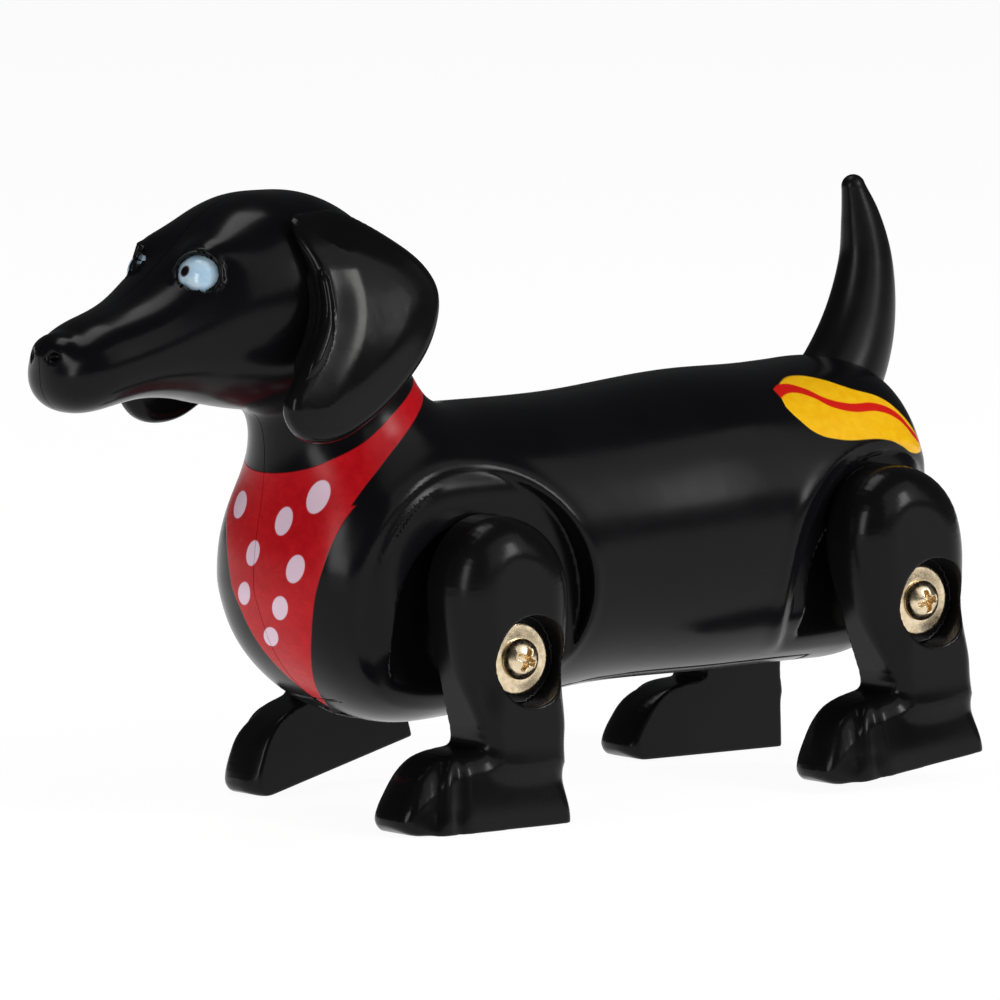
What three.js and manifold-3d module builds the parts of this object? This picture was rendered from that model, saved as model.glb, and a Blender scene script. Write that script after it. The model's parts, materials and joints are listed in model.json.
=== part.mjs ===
// A walking toy dachshund: two moulded half shells, a worm-geared battery drive, and four
// legs carried on crank pins. Millimetres. +X nose, +Y the dog's left, +Z up.
// The origin is on the floor, under the middle of the body.
import * as THREE from 'three';
import { mergeVertices } from 'three/addons/utils/BufferGeometryUtils.js';
import Module from 'manifold-3d';

const wasm = await Module();
wasm.setup();

// Driving dimensions
const WALL = 1.5;
const SEAM = 0.15;
const GAP = 0.3;
const RING = 20;

const CRANK_RADIUS = 1.8;
const SOLE = 18.1;
// phase is the left pin's angle; the right pin is half a turn on. The low pin's leg stands flat,
// and the leg on the raised pin points its toe down by toeDown degrees
const FRONT_AXLE = { x: 7.2, phase: -71, toeDown: 15 };
const REAR_AXLE = { x: -50.2, phase: 46, toeDown: 6.7 };
for (const axle of [FRONT_AXLE, REAR_AXLE]) {
  axle.z = SOLE + CRANK_RADIUS * Math.abs(Math.sin((axle.phase * Math.PI) / 180));
}
const AXLE_R = 1.2;
const DISC_R = 5.2;
const DISC_Y = [12.6, 14.2];
const PIN_R = 2.5;
const PIN_END = 18.5;

const ARCH = { dx: 3.8, dz: 5.3, rim: 14.0, pocket: 11.2, ledge: 14.3, floor: 11.4, depth: 26 };

const LEG_Y = [14.8, 22.2];
const PAW_Y = [14.8, 23.6];

const SHAFT_Z = 26.0;
const SHAFT_R = 1.0;
const MOTOR_Z = SHAFT_Z + 8.15;
const MOTOR_X = -40.0;
const SPUR_X = -46.0;
const WORM_MODULE = 0.6;
const WHEEL_TEETH = 12;
const WHEEL_R = (WORM_MODULE * WHEEL_TEETH) / 2;
const SPUR_MODULE = 0.4;
const PINION_TEETH = 10;
const SPUR_TEETH = 30;

const CELL_R = 5.8;
const CELL_H = 5.4;
const CELL_X = [-35.2, -23.25, -11.3];
const CELL_Z = 15.2;
const DOOR = { x0: -42.5, x1: -3.5, y: 7.2, top: 14.6 };
const SWITCH_X = 16.0;
const SHELL_SCREWS = [{ x: -20.5, z: 37.5, head: 12.5 }, { x: 19, z: 31, head: 12.5 },
  { x: -56.0, z: 33.6, head: 7.0 }, { x: 27, z: 55, head: 8.5 }];

// Section stations along X: x, top, bottom, half width
const TORSO = [[-58.9, 35.5, 26.0, 4.6], [-57.4, 40.8, 20.6, 8.6], [-54.0, 44.0, 16.8, 12.4],
  [-49.0, 45.6, 13.9, 15.4], [-41.5, 46.3, 12.6, 16.8], [-30.0, 46.1, 12.4, 17.0],
  [-12.0, 44.6, 12.1, 16.6], [2.5, 44.6, 10.2, 17.0], [12.5, 44.6, 9.8, 17.0],
  [19.5, 42.8, 11.4, 15.9], [25.0, 39.5, 14.6, 13.2], [29.0, 35.6, 19.0, 9.0],
  [30.9, 32.0, 23.5, 4.2]];
const HEAD = [[14.0, 58.6, 52.0, 4.0], [16.5, 63.4, 48.6, 8.2], [21.5, 67.4, 45.9, 11.3],
  [27.0, 69.2, 44.6, 12.6], [32.5, 69.0, 44.4, 12.2], [37.0, 66.8, 44.8, 11.0],
  [41.0, 62.2, 45.2, 9.4], [46.0, 58.5, 45.5, 7.9], [51.5, 56.2, 45.8, 6.8],
  [55.4, 55.0, 46.4, 5.6], [57.7, 53.5, 48.6, 3.4]];
// Neck stations up Z: z, centre x, half length, half width
const NECK = [[30.0, 15.5, 12.0, 12.5], [37.0, 17.0, 10.8, 10.8], [42.0, 17.9, 10.2, 9.6],
  [48.0, 19.6, 9.5, 9.2], [56.0, 23.5, 8.5, 8.8]];

// Halfway between the muzzle and the tail, where the origin is put
const MIDDLE_X = -1.4;

const rad = (deg) => (deg * Math.PI) / 180;

// Solids and joins

function toSolid(geometry) {
  const bare = geometry.clone();
  bare.deleteAttribute('normal');
  bare.deleteAttribute('uv');
  const merged = mergeVertices(bare, 1e-4);
  return new wasm.Manifold(new wasm.Mesh({
    numProp: 3,
    vertProperties: new Float32Array(merged.attributes.position.array),
    triVerts: new Uint32Array(merged.index.array),
  }));
}

function toGeometry(solid) {
  const mesh = solid.getMesh();
  const geometry = new THREE.BufferGeometry();
  geometry.setAttribute('position', new THREE.BufferAttribute(new Float32Array(mesh.vertProperties), 3));
  geometry.setIndex(new THREE.BufferAttribute(new Uint32Array(mesh.triVerts), 1));
  const flat = geometry.toNonIndexed();
  flat.computeVertexNormals();
  return flat;
}

function join(solids) {
  return solids.reduce((all, next) => all.add(next));
}

function cutAll(solid, cutters) {
  return cutters.reduce((left, cutter) => left.subtract(cutter), solid);
}

function moved(geometry, x, y, z) {
  geometry.translate(x, y, z);
  return geometry;
}

function boxSolid(x0, x1, y0, y1, z0, z1) {
  const box = new THREE.BoxGeometry(x1 - x0, y1 - y0, z1 - z0);
  return toSolid(moved(box, (x0 + x1) / 2, (y0 + y1) / 2, (z0 + z1) / 2));
}

// A round bar along Y between y0 and y1
function barY(radius, x, z, y0, y1, sides = 24) {
  const bar = new THREE.CylinderGeometry(radius, radius, Math.abs(y1 - y0), sides);
  return toSolid(moved(bar, x, (y0 + y1) / 2, z));
}

// A round bar along X between x0 and x1
function barX(radius, y, z, x0, x1, sides = 24) {
  const bar = new THREE.CylinderGeometry(radius, radius, Math.abs(x1 - x0), sides);
  bar.rotateZ(Math.PI / 2);
  return toSolid(moved(bar, (x0 + x1) / 2, y, z));
}

// A round bar along Z between z0 and z1
function barZ(radius, x, y, z0, z1, sides = 24) {
  const bar = new THREE.CylinderGeometry(radius, radius, Math.abs(z1 - z0), sides);
  bar.rotateX(Math.PI / 2);
  return toSolid(moved(bar, x, y, (z0 + z1) / 2));
}

// Skin over a row of closed rings, with a fan over each end
function loft(rings) {
  const count = rings[0].length;
  const points = rings.flat();
  const index = [];
  for (let r = 0; r < rings.length - 1; r += 1) {
    for (let i = 0; i < count; i += 1) {
      const a = r * count + i;
      const b = r * count + ((i + 1) % count);
      index.push(a, b, b + count, a, b + count, a + count);
    }
  }
  const middle = (ring) => ring.reduce((sum, p) => sum.add(p), new THREE.Vector3()).divideScalar(count);
  const first = points.push(middle(rings[0])) - 1;
  const last = points.push(middle(rings[rings.length - 1])) - 1;
  const top = (rings.length - 1) * count;
  for (let i = 0; i < count; i += 1) {
    const next = (i + 1) % count;
    index.push(first, next, i);
    index.push(last, top + i, top + next);
  }
  const geometry = new THREE.BufferGeometry();
  const flat = points.flatMap((p) => [p.x, p.y, p.z]);
  geometry.setAttribute('position', new THREE.Float32BufferAttribute(flat, 3));
  geometry.setIndex(index);
  const solid = toSolid(geometry);
  if (solid.volume() > 0) {
    return solid;
  }
  const flipped = [];
  for (let i = 0; i < index.length; i += 3) {
    flipped.push(index[i], index[i + 2], index[i + 1]);
  }
  geometry.setIndex(flipped);
  return toSolid(geometry);
}

// Rounded section in a plane across X, a little squarer than an ellipse
function sectionX(x, top, bottom, halfWidth, squareness) {
  const ring = [];
  const middle = (top + bottom) / 2;
  const half = (top - bottom) / 2;
  for (let i = 0; i < RING; i += 1) {
    const t = (i / RING) * Math.PI * 2;
    const c = Math.cos(t);
    const s = Math.sin(t);
    const y = Math.sign(c) * Math.abs(c) ** squareness * halfWidth;
    const z = middle + Math.sign(s) * Math.abs(s) ** squareness * half;
    ring.push(new THREE.Vector3(x, y, z));
  }
  return ring;
}

function bodyLoft(stations, inset, squareness) {
  const first = stations[0][0] + inset;
  const last = stations[stations.length - 1][0] - inset;
  const kept = stations.filter((s) => s[3] > inset + 1.5 && s[0] >= first && s[0] <= last);
  return loft(kept.map(([x, top, bottom, half]) => (
    sectionX(x, top - inset, bottom + inset, half - inset, squareness))));
}

function neckLoft(inset) {
  return loft(NECK.map(([z, cx, a, b]) => {
    const ring = [];
    for (let i = 0; i < RING; i += 1) {
      const t = (i / RING) * Math.PI * 2;
      ring.push(new THREE.Vector3(cx + (a - inset) * Math.cos(t), (b - inset) * Math.sin(t), z));
    }
    return ring;
  }));
}

// The whole dog without legs, as one solid drawn in by inset
function dogForm(inset) {
  return join([bodyLoft(TORSO, inset, 0.9), neckLoft(inset), bodyLoft(HEAD, inset, 0.95)]);
}

// Arch-shaped bar along Y: a round top over a straight opening
function archBar(axle, radius, side, yInner, yOuter) {
  const cx = axle.x + ARCH.dx;
  const cz = axle.z + ARCH.dz;
  const outline = new THREE.Shape();
  outline.moveTo(cx - radius, cz - ARCH.depth);
  outline.lineTo(cx + radius, cz - ARCH.depth);
  outline.lineTo(cx + radius, cz);
  outline.absarc(cx, cz, radius, 0, Math.PI, false);
  outline.closePath();
  const depth = yOuter - yInner;
  const bar = new THREE.ExtrudeGeometry(outline, { depth, bevelEnabled: false, curveSegments: 12 });
  bar.rotateX(Math.PI / 2);
  bar.translate(0, side > 0 ? yOuter : -yInner, 0);
  return toSolid(bar);
}

function archPockets() {
  const cuts = [];
  for (const axle of [FRONT_AXLE, REAR_AXLE]) {
    for (const side of [1, -1]) {
      cuts.push(archBar(axle, ARCH.rim, side, ARCH.ledge, 20));
      cuts.push(archBar(axle, ARCH.pocket, side, ARCH.floor, 20));
    }
  }
  return cuts;
}

// The same pockets grown by the wall, which the hollow of the body keeps clear of
function archWalls() {
  const walls = [];
  for (const axle of [FRONT_AXLE, REAR_AXLE]) {
    for (const side of [1, -1]) {
      walls.push(archBar(axle, ARCH.rim + WALL, side, ARCH.ledge - WALL, 20));
      walls.push(archBar(axle, ARCH.pocket + WALL, side, ARCH.floor - WALL, 20));
    }
  }
  return walls;
}

// Fasteners

function crossRecess(x, y, z, axis, size, depth) {
  const arm = size * 0.28;
  if (axis === 'y') {
    return boxSolid(x - size, x + size, y - depth, y + depth, z - arm, z + arm)
      .add(boxSolid(x - arm, x + arm, y - depth, y + depth, z - size, z + size));
  }
  return boxSolid(x - size, x + size, y - arm, y + arm, z - depth, z + depth)
    .add(boxSolid(x - arm, x + arm, y - size, y + size, z - depth, z + depth));
}

// A pan-head screw along Y; side is the way its head faces
function screwY(x, z, yHead, side, headR, headH, shankR, length) {
  const profile = new THREE.Shape();
  profile.moveTo(0, -length);
  profile.lineTo(shankR, -length);
  profile.lineTo(shankR, 0);
  profile.lineTo(headR, 0);
  profile.lineTo(headR, headH * 0.5);
  profile.quadraticCurveTo(headR * 0.9, headH, 0, headH);
  const screw = new THREE.LatheGeometry(profile.getPoints(2), 12);
  if (side < 0) {
    screw.rotateX(Math.PI);
  }
  screw.translate(x, yHead, z);
  return toSolid(screw).subtract(crossRecess(x, yHead + side * headH, z, 'y', headR * 0.55, headH * 0.5));
}

// Gears

// Outline of a gear with straight-sided teeth, thinned for backlash
function gearOutline(module, teeth, turn, thin) {
  const pitchR = (module * teeth) / 2;
  const root = pitchR - 1.2 * module;
  const tip = pitchR + 0.8 * module;
  const quarter = Math.PI / (2 * teeth) - thin / pitchR;
  const points = [];
  for (let i = 0; i < teeth; i += 1) {
    const mid = turn + (i * Math.PI * 2) / teeth;
    const steps = [[root, -1.4], [tip, -0.5], [tip, 0.5], [root, 1.4]];
    for (const [r, share] of steps) {
      points.push([r, mid + share * quarter]);
    }
  }
  return points;
}

// A gear blank along X with a centre at y, z
function gearX(module, teeth, turn, y, z, x0, x1, bore) {
  const rings = [x0, x1].map((x) => gearOutline(module, teeth, turn, 0.07).map(([r, a]) => (
    new THREE.Vector3(x, y + r * Math.cos(a), z + r * Math.sin(a)))));
  const gear = loft(rings);
  return bore > 0 ? gear.subtract(barX(bore, y, z, x0 - 1, x1 + 1)) : gear;
}

// Worm wheel along Y: the teeth lean by the worm's lead over the face width
function wormWheel(axle, turn, wormR) {
  const width = 3.6;
  const lead = Math.atan((WORM_MODULE) / (2 * wormR));
  const rings = [-1, 1].map((step) => {
    const y = (step * width) / 2;
    const lean = (-y * Math.tan(lead)) / WHEEL_R;
    return gearOutline(WORM_MODULE, WHEEL_TEETH, turn + lean, 0.1).map(([r, a]) => (
      new THREE.Vector3(axle.x + r * Math.sin(a), y, axle.z + r * Math.cos(a))));
  });
  return loft(rings).subtract(barY(AXLE_R + 0.1, axle.x, axle.z, -width, width));
}

// Worm along X: a core with one helical thread. turn is the thread's angle at the middle
function worm(x, wormR, turn) {
  const lead = Math.PI * WORM_MODULE;
  const length = 7.2;
  const steps = 9;
  const core = wormR - 1.2 * WORM_MODULE;
  const crest = wormR + 0.75 * WORM_MODULE;
  const total = Math.round((length / lead - 0.9) * steps);
  const rings = [];
  for (let i = 0; i <= total; i += 1) {
    const along = (i - total / 2) / steps;
    const angle = turn + along * Math.PI * 2;
    const cx = x + along * lead;
    const corner = [[core - 0.25, -0.34], [crest, -0.1], [crest, 0.1], [core - 0.25, 0.34]];
    rings.push(corner.map(([r, share]) => (
      new THREE.Vector3(cx + share * lead, r * Math.sin(angle), SHAFT_Z + r * Math.cos(angle)))));
  }
  const body = barX(core, 0, SHAFT_Z, x - length / 2, x + length / 2, 9);
  return body.add(loft(rings)).subtract(barX(SHAFT_R + 0.1, 0, SHAFT_Z, x - length, x + length, 10));
}

// Legs

function pinPlace(axle, side) {
  const angle = rad(axle.phase) + (side > 0 ? 0 : Math.PI);
  return { x: axle.x + CRANK_RADIUS * Math.cos(angle), z: axle.z + CRANK_RADIUS * Math.sin(angle) };
}

function legOutline() {
  const s = new THREE.Shape();
  s.moveTo(-4.6, -SOLE + 0.6);
  s.lineTo(-4.7, -9.0);
  s.quadraticCurveTo(-5.2, -4.0, -6.3, 2.0);
  s.absarc(2.7, 7.1, 9.2, rad(205), rad(-20), true);
  s.quadraticCurveTo(10.6, -1.0, 9.4, -6.4);
  s.lineTo(9.6, -9.0);
  s.quadraticCurveTo(12.0, -12.0, 14.0, -SOLE + 0.6);
  s.closePath();
  return s;
}

function pawOutline() {
  const s = new THREE.Shape();
  s.moveTo(-4.8, -SOLE);
  s.lineTo(-4.9, -11.0);
  s.quadraticCurveTo(-4.8, -9.8, -3.6, -9.6);
  s.lineTo(8.0, -8.6);
  s.quadraticCurveTo(10.6, -7.9, 12.8, -8.8);
  s.quadraticCurveTo(17.2, -10.6, 17.5, -SOLE + 1.7);
  s.lineTo(15.0, -SOLE);
  s.closePath();
  return s;
}

// The foot seen from above: round at the toes
function pawPlan() {
  const width = PAW_Y[1] - PAW_Y[0];
  const s = new THREE.Shape();
  s.moveTo(-9, -1);
  s.lineTo(10.5, -1);
  s.quadraticCurveTo(17.0, 0.2, 17.8, 3.2);
  s.quadraticCurveTo(18.0, width - 1.6, 13.0, width + 0.2);
  s.lineTo(-9, width + 0.2);
  s.closePath();
  const plan = new THREE.ExtrudeGeometry(s, { depth: 60, bevelEnabled: false, curveSegments: 4 });
  return toSolid(moved(plan, 0, 0, -30));
}

// One leg, standing flat, with its screw axis at x = z = 0 and its inner face at y = 0
function legSolid() {
  const shank = new THREE.ExtrudeGeometry(legOutline(), {
    depth: LEG_Y[1] - LEG_Y[0] - 1.6, bevelEnabled: true, bevelThickness: 1.6, bevelSize: 1.2,
    bevelOffset: -1.2, bevelSegments: 2, curveSegments: 5 });
  shank.rotateX(Math.PI / 2);
  shank.translate(0, LEG_Y[1] - LEG_Y[0] - 1.6, 0);
  const paw = new THREE.ExtrudeGeometry(pawOutline(), {
    depth: PAW_Y[1] - PAW_Y[0] - 0.8, bevelEnabled: true, bevelThickness: 0.8, bevelSize: 0.7,
    bevelOffset: -0.7, bevelSegments: 1, curveSegments: 4 });
  paw.rotateX(Math.PI / 2);
  paw.translate(0, PAW_Y[1] - PAW_Y[0] - 0.8, 0);
  const sole = boxSolid(-4.2, 14.6, 0.4, 8.0, -SOLE, -SOLE + 2);
  const whole = toSolid(shank).add(toSolid(paw)).add(sole);
  const flush = whole.subtract(boxSolid(-30, 30, -10, 0, -30, 30)).intersect(pawPlan());
  const counterbore = barY(5.0, 0, 0, PIN_END - LEG_Y[0], 12, 24);
  const bore = barY(PIN_R + 0.1, 0, 0, -1, 12, 20);
  const guideSlot = boxSolid(1.2, 4.2, -1, 2.2, 4.5, 12.5);
  return cutAll(flush, [counterbore, bore, guideSlot]);
}

function placedLeg(axle, side) {
  const pin = pinPlace(axle, side);
  let leg = legSolid();
  const pitch = pin.z > axle.z ? axle.toeDown : 0;
  if (side < 0) {
    leg = leg.mirror([0, 1, 0]);
  }
  return leg.rotate([0, pitch, 0]).translate([pin.x, side * LEG_Y[0], pin.z]);
}

// Cranks

function crankDisc(axle, side) {
  const pin = pinPlace(axle, side);
  const disc = barY(DISC_R, axle.x, axle.z, side * DISC_Y[0], side * DISC_Y[1], 20);
  const boss = barY(PIN_R, pin.x, pin.z, side * (DISC_Y[1] - 0.4), side * PIN_END, 20);
  const bore = barY(AXLE_R + 0.1, axle.x, axle.z, side * 12, side * 13.6, 16);
  const tapping = barY(1.05, pin.x, pin.z, side * 14.6, side * 20, 12);
  return disc.add(boss).subtract(bore).subtract(tapping);
}

function washer(axle, side) {
  const pin = pinPlace(axle, side);
  const ring = barY(4.0, pin.x, pin.z, side * (PIN_END + 0.1), side * (PIN_END + 0.6), 24);
  return ring.subtract(barY(1.2, pin.x, pin.z, side * 18, side * 20, 12));
}

function legScrew(axle, side) {
  const pin = pinPlace(axle, side);
  return screwY(pin.x, pin.z, side * (PIN_END + 0.65), side, 2.3, 1.7, 0.95, 4.3);
}

function axleBar(axle) {
  return barY(AXLE_R, axle.x, axle.z, -13.5, 13.5, 16);
}

function axleBush(axle, side) {
  const flange = barY(2.5, axle.x, axle.z, side * 8.9, side * 9.5, 14);
  const sleeve = barY(1.95, axle.x, axle.z, side * 8.9, side * 12.2, 14);
  return flange.add(sleeve).subtract(barY(AXLE_R + 0.08, axle.x, axle.z, side * 8, side * 13, 14));
}

// Soft curves: the tail and the ears

function curveTube(points, radii, steps, sides) {
  const curve = new THREE.CatmullRomCurve3(points.map((p) => new THREE.Vector3(...p)));
  const frames = curve.computeFrenetFrames(steps, false);
  const rings = [];
  for (let i = 0; i <= steps; i += 1) {
    const t = i / steps;
    const centre = curve.getPoint(t);
    const at = t * (radii.length - 1);
    const k = Math.min(Math.floor(at), radii.length - 2);
    const radius = radii[k] + (radii[k + 1] - radii[k]) * (at - k);
    const ring = [];
    for (let j = 0; j < sides; j += 1) {
      const a = (j / sides) * Math.PI * 2;
      ring.push(centre.clone()
        .addScaledVector(frames.normals[i], Math.cos(a) * radius)
        .addScaledVector(frames.binormals[i], Math.sin(a) * radius));
    }
    rings.push(ring);
  }
  return loft(rings);
}

const TAIL_LINE = [[-51.0, 0, 41.4], [-54.2, 0, 45.6], [-56.6, 0, 51.7], [-57.2, 0, 58.8], [-55.1, 0, 66.5]];

function tailSolid(grow) {
  return curveTube(TAIL_LINE, [4.9, 4.6, 3.9, 2.7, 1.1].map((r) => r + grow), 10, 16);
}

// Ear stations down Z: z, centre x, half length, centre y, half thickness
const EAR = [[66.3, 26.0, 2.4, 9.4, 2.2], [64.0, 25.2, 5.8, 10.8, 2.9], [59.7, 24.7, 8.1, 13.0, 2.9],
  [54.9, 25.2, 9.1, 14.4, 2.6], [49.9, 27.7, 8.0, 15.2, 2.3], [46.1, 30.3, 5.4, 15.7, 1.9],
  [43.9, 31.0, 2.8, 15.8, 1.2]];

// An ear hangs from the side of the skull as a flat flap
function earSolid(side, headGrown) {
  const flap = loft(EAR.map(([z, cx, a, cy, b]) => {
    const ring = [];
    for (let i = 0; i < 18; i += 1) {
      const t = (i / 18) * Math.PI * 2;
      ring.push(new THREE.Vector3(cx + a * Math.cos(t), side * (cy + b * Math.sin(t)), z));
    }
    return ring;
  }));
  const peg = barY(1.6, 22, 58, side * 9.0, side * 13.5, 12);
  const body = flap.subtract(headGrown).decompose().sort((p, q) => q.volume() - p.volume())[0];
  return body.add(peg);
}

const EYE = { x: 40.3, y: 5.4, z: 60.3, r: 2.45 };

function eyeBall(side, radius) {
  const ball = new THREE.SphereGeometry(radius, 14, 8);
  return toSolid(moved(ball, EYE.x, side * EYE.y, EYE.z));
}

// The two half shells

function screwBosses(side) {
  return SHELL_SCREWS.map(({ x, z }) => barY(2.6, x, z, side * SEAM, side * 16.5, 14));
}

function shellCuts() {
  const cuts = [];
  for (const axle of [FRONT_AXLE, REAR_AXLE]) {
    cuts.push(barY(2.1, axle.x, axle.z, -14, 14, 14));
    cuts.push(barY(WHEEL_R + 0.9, axle.x, axle.z, -2.4, 2.4, 24));
    cuts.push(barY(2.9, axle.x, axle.z, 8.6, 9.8, 14), barY(2.9, axle.x, axle.z, -9.8, -8.6, 14));
  }
  for (const { x, z, head } of SHELL_SCREWS) {
    cuts.push(barY(2.4, x, z, -20, -head + 0.1, 14));
    cuts.push(barY(1.1, x, z, -20, 0.6 * head, 12));
  }
  for (const side of [1, -1]) {
    cuts.push(eyeBall(side, EYE.r + 0.25));
    cuts.push(barY(1.8, 22, 58, side * 8, side * 16, 12));
  }
  cuts.push(boxSolid(DOOR.x0 - 0.3, DOOR.x1 + 0.3, -DOOR.y - 0.3, DOOR.y + 0.3, 8, 20));
  cuts.push(boxSolid(SWITCH_X - 3.4, SWITCH_X + 3.4, -1.5, 1.5, 8, 18));
  cuts.push(boxSolid(SWITCH_X - 5.3, SWITCH_X + 5.3, -4.3, 4.3, 13.2, 24));
  cuts.push(tailSolid(0.3));
  return cuts;
}

function guidePin(axle, side) {
  const pin = { x: axle.x + 4.4, z: axle.z + 9.6 };
  return barY(0.9, pin.x, pin.z, side * (ARCH.floor - 0.6), side * 14.4, 10);
}

function halfShells() {
  const outer = cutAll(dogForm(0), archPockets());
  const hollow = cutAll(dogForm(WALL), archWalls());
  const skin = outer.subtract(hollow);
  const shells = {};
  for (const side of [1, -1]) {
    const half = side > 0 ? boxSolid(-80, 80, SEAM, 40, 0, 90) : boxSolid(-80, 80, -40, -SEAM, 0, 90);
    const bosses = join(screwBosses(side)).intersect(outer);
    const pins = [FRONT_AXLE, REAR_AXLE].map((axle) => guidePin(axle, side));
    const whole = cutAll(join([skin.intersect(half), bosses, ...pins]), shellCuts());
    shells[side] = whole.decompose().sort((a, b) => b.volume() - a.volume())[0];
  }
  return shells;
}

// Battery bay, switch, board and motor

function batteryDoor() {
  const belly = dogForm(0).subtract(dogForm(WALL));
  const plate = belly.intersect(boxSolid(DOOR.x0, DOOR.x1, -DOOR.y, DOOR.y, 8, DOOR.top));
  const hook = boxSolid(DOOR.x0 + 0.4, DOOR.x0 + 1.6, -3, 3, 13.2, 15.2);
  const hole = barZ(0.9, DOOR.x1 - 2.4, 0, 8, 20, 14).add(barZ(1.9, DOOR.x1 - 2.4, 0, 8, 13.5, 18));
  return plate.add(hook).subtract(hole);
}

function doorScrew() {
  const head = barZ(1.7, DOOR.x1 - 2.4, 0, 12.9, 13.45, 18);
  const shank = barZ(0.8, DOOR.x1 - 2.4, 0, 13.3, 14.9, 14);
  return head.add(shank).subtract(crossRecess(DOOR.x1 - 2.4, 0, 12.9, 'z', 0.95, 0.35));
}

function cell(x) {
  const can = barZ(CELL_R, x, 0, CELL_Z + 0.4, CELL_Z + CELL_H, 20);
  return can.add(barZ(CELL_R - 1.0, x, 0, CELL_Z, CELL_Z + 0.6, 20));
}

function batteryTray() {
  const x0 = CELL_X[0] - CELL_R - 0.35;
  const x1 = CELL_X[2] + CELL_R + 0.35;
  const outer = boxSolid(x0 - 1.9, x1 + 1.9, -6.75, 6.75, CELL_Z + 0.8, CELL_Z + CELL_H + 1.3);
  const bay = boxSolid(x0, x1, -6.1, 6.1, CELL_Z - 1, CELL_Z + CELL_H + 0.3);
  const slots = [x0 - 1.2, x1 + 0.3].map((x) => boxSolid(x, x + 0.9, -4.3, 4.3, CELL_Z - 1, CELL_Z + 5));
  return cutAll(outer, [bay, ...slots]);
}

function batteryContact(x) {
  const leaf = boxSolid(x, x + 0.4, -3.6, 3.6, CELL_Z + 0.6, CELL_Z + 4.6);
  return leaf.subtract(boxSolid(x - 1, x + 1, -1.2, 1.2, CELL_Z, CELL_Z + 3.4));
}

function switchHousing() {
  const shell = boxSolid(SWITCH_X - 5, SWITCH_X + 5, -4, 4, 13.6, 17.6);
  return shell.subtract(boxSolid(SWITCH_X - 3.5, SWITCH_X + 3.5, -1.9, 1.9, 12, 16.2));
}

function switchSlider() {
  const foot = boxSolid(SWITCH_X + 0.1, SWITCH_X + 3.1, -1.6, 1.6, 14.2, 15.6);
  const knob = boxSolid(SWITCH_X + 0.6, SWITCH_X + 2.6, -1.1, 1.1, 11.2, 14.6);
  return foot.add(knob);
}

function motorCan() {
  const round = barX(6.0, 0, MOTOR_Z, MOTOR_X, MOTOR_X + 14.2, 24);
  const flats = boxSolid(MOTOR_X - 5, MOTOR_X + 20, -7, 7, MOTOR_Z - 5, MOTOR_Z + 5);
  const nose = barX(1.6, 0, MOTOR_Z, MOTOR_X - 0.9, MOTOR_X + 0.4, 14);
  return round.intersect(flats).add(nose).subtract(barX(0.6, 0, MOTOR_Z, MOTOR_X - 2, MOTOR_X + 6, 12));
}

function motorCap() {
  const round = barX(5.6, 0, MOTOR_Z, MOTOR_X + 14.5, MOTOR_X + 16.2, 20);
  const flats = boxSolid(MOTOR_X, MOTOR_X + 20, -7, 7, MOTOR_Z - 4.7, MOTOR_Z + 4.7);
  return round.intersect(flats);
}

function motorPinion() {
  const turn = Math.PI / 2 + Math.PI / PINION_TEETH;
  const gear = gearX(SPUR_MODULE, PINION_TEETH, turn, 0, MOTOR_Z, SPUR_X - 0.2, SPUR_X + 2.8, 0);
  return gear.add(barX(0.5, 0, MOTOR_Z, SPUR_X - 0.6, MOTOR_X + 5, 12));
}

// Chassis plates stand on both sides of the gears; the left one carries the shaft walls
function chassisPlate(side) {
  const outline = new THREE.Shape();
  outline.moveTo(-45.0, 17.6);
  outline.lineTo(11.6, 17.6);
  outline.lineTo(13.2, 22.0);
  outline.lineTo(13.2, 30.6);
  outline.lineTo(-16.0, 30.6);
  outline.lineTo(-23.6, 33.0);
  outline.lineTo(-25.0, 40.0);
  outline.lineTo(-46.0, 40.0);
  outline.lineTo(-50.0, 30.4);
  outline.lineTo(-55.6, 30.4);
  outline.lineTo(-55.6, 26.5);
  outline.lineTo(-52.0, 20.9);
  outline.lineTo(-49.0, 18.5);
  outline.closePath();
  const plate = new THREE.ExtrudeGeometry(outline, { depth: 1.2, bevelEnabled: false });
  plate.rotateX(Math.PI / 2);
  plate.translate(0, side > 0 ? 8.4 : -7.2, 0);
  const holes = [FRONT_AXLE, REAR_AXLE].map((a) => barY(1.35, a.x, a.z, -10, 10, 16));
  return cutAll(toSolid(plate), holes);
}

function shaftWall(x0, x1) {
  const wall = boxSolid(x0, x1, -6.9, 6.9, 23.7, 30.2);
  return wall.subtract(barX(SHAFT_R + 0.08, 0, SHAFT_Z, x0 - 1, x1 + 1, 16));
}

function motorCradle() {
  const cradle = boxSolid(MOTOR_X + 2, MOTOR_X + 12, -6.9, 6.9, 27.9, 31.6);
  return cradle.subtract(boxSolid(MOTOR_X, MOTOR_X + 16, -6.3, 6.3, MOTOR_Z - 5.3, 33));
}

function circuitBoard() {
  const board = boxSolid(-9.5, 5.5, -6.0, 6.0, 33.0, 34.0);
  const chip = boxSolid(-5.5, -1.5, -2, 2, 33.8, 35.2);
  const can = barZ(1.6, 2.6, 2.4, 33.8, 37.6, 16);
  return join([board, chip, can]);
}

function wireTube(points) {
  const curve = new THREE.CatmullRomCurve3(points.map((p) => new THREE.Vector3(...p)));
  const ring = new THREE.Shape();
  ring.absarc(0, 0, 0.45, 0, Math.PI * 2, false);
  return toSolid(new THREE.ExtrudeGeometry(ring, { extrudePath: curve, steps: 10, curveSegments: 4 }));
}

// The scene graph

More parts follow.
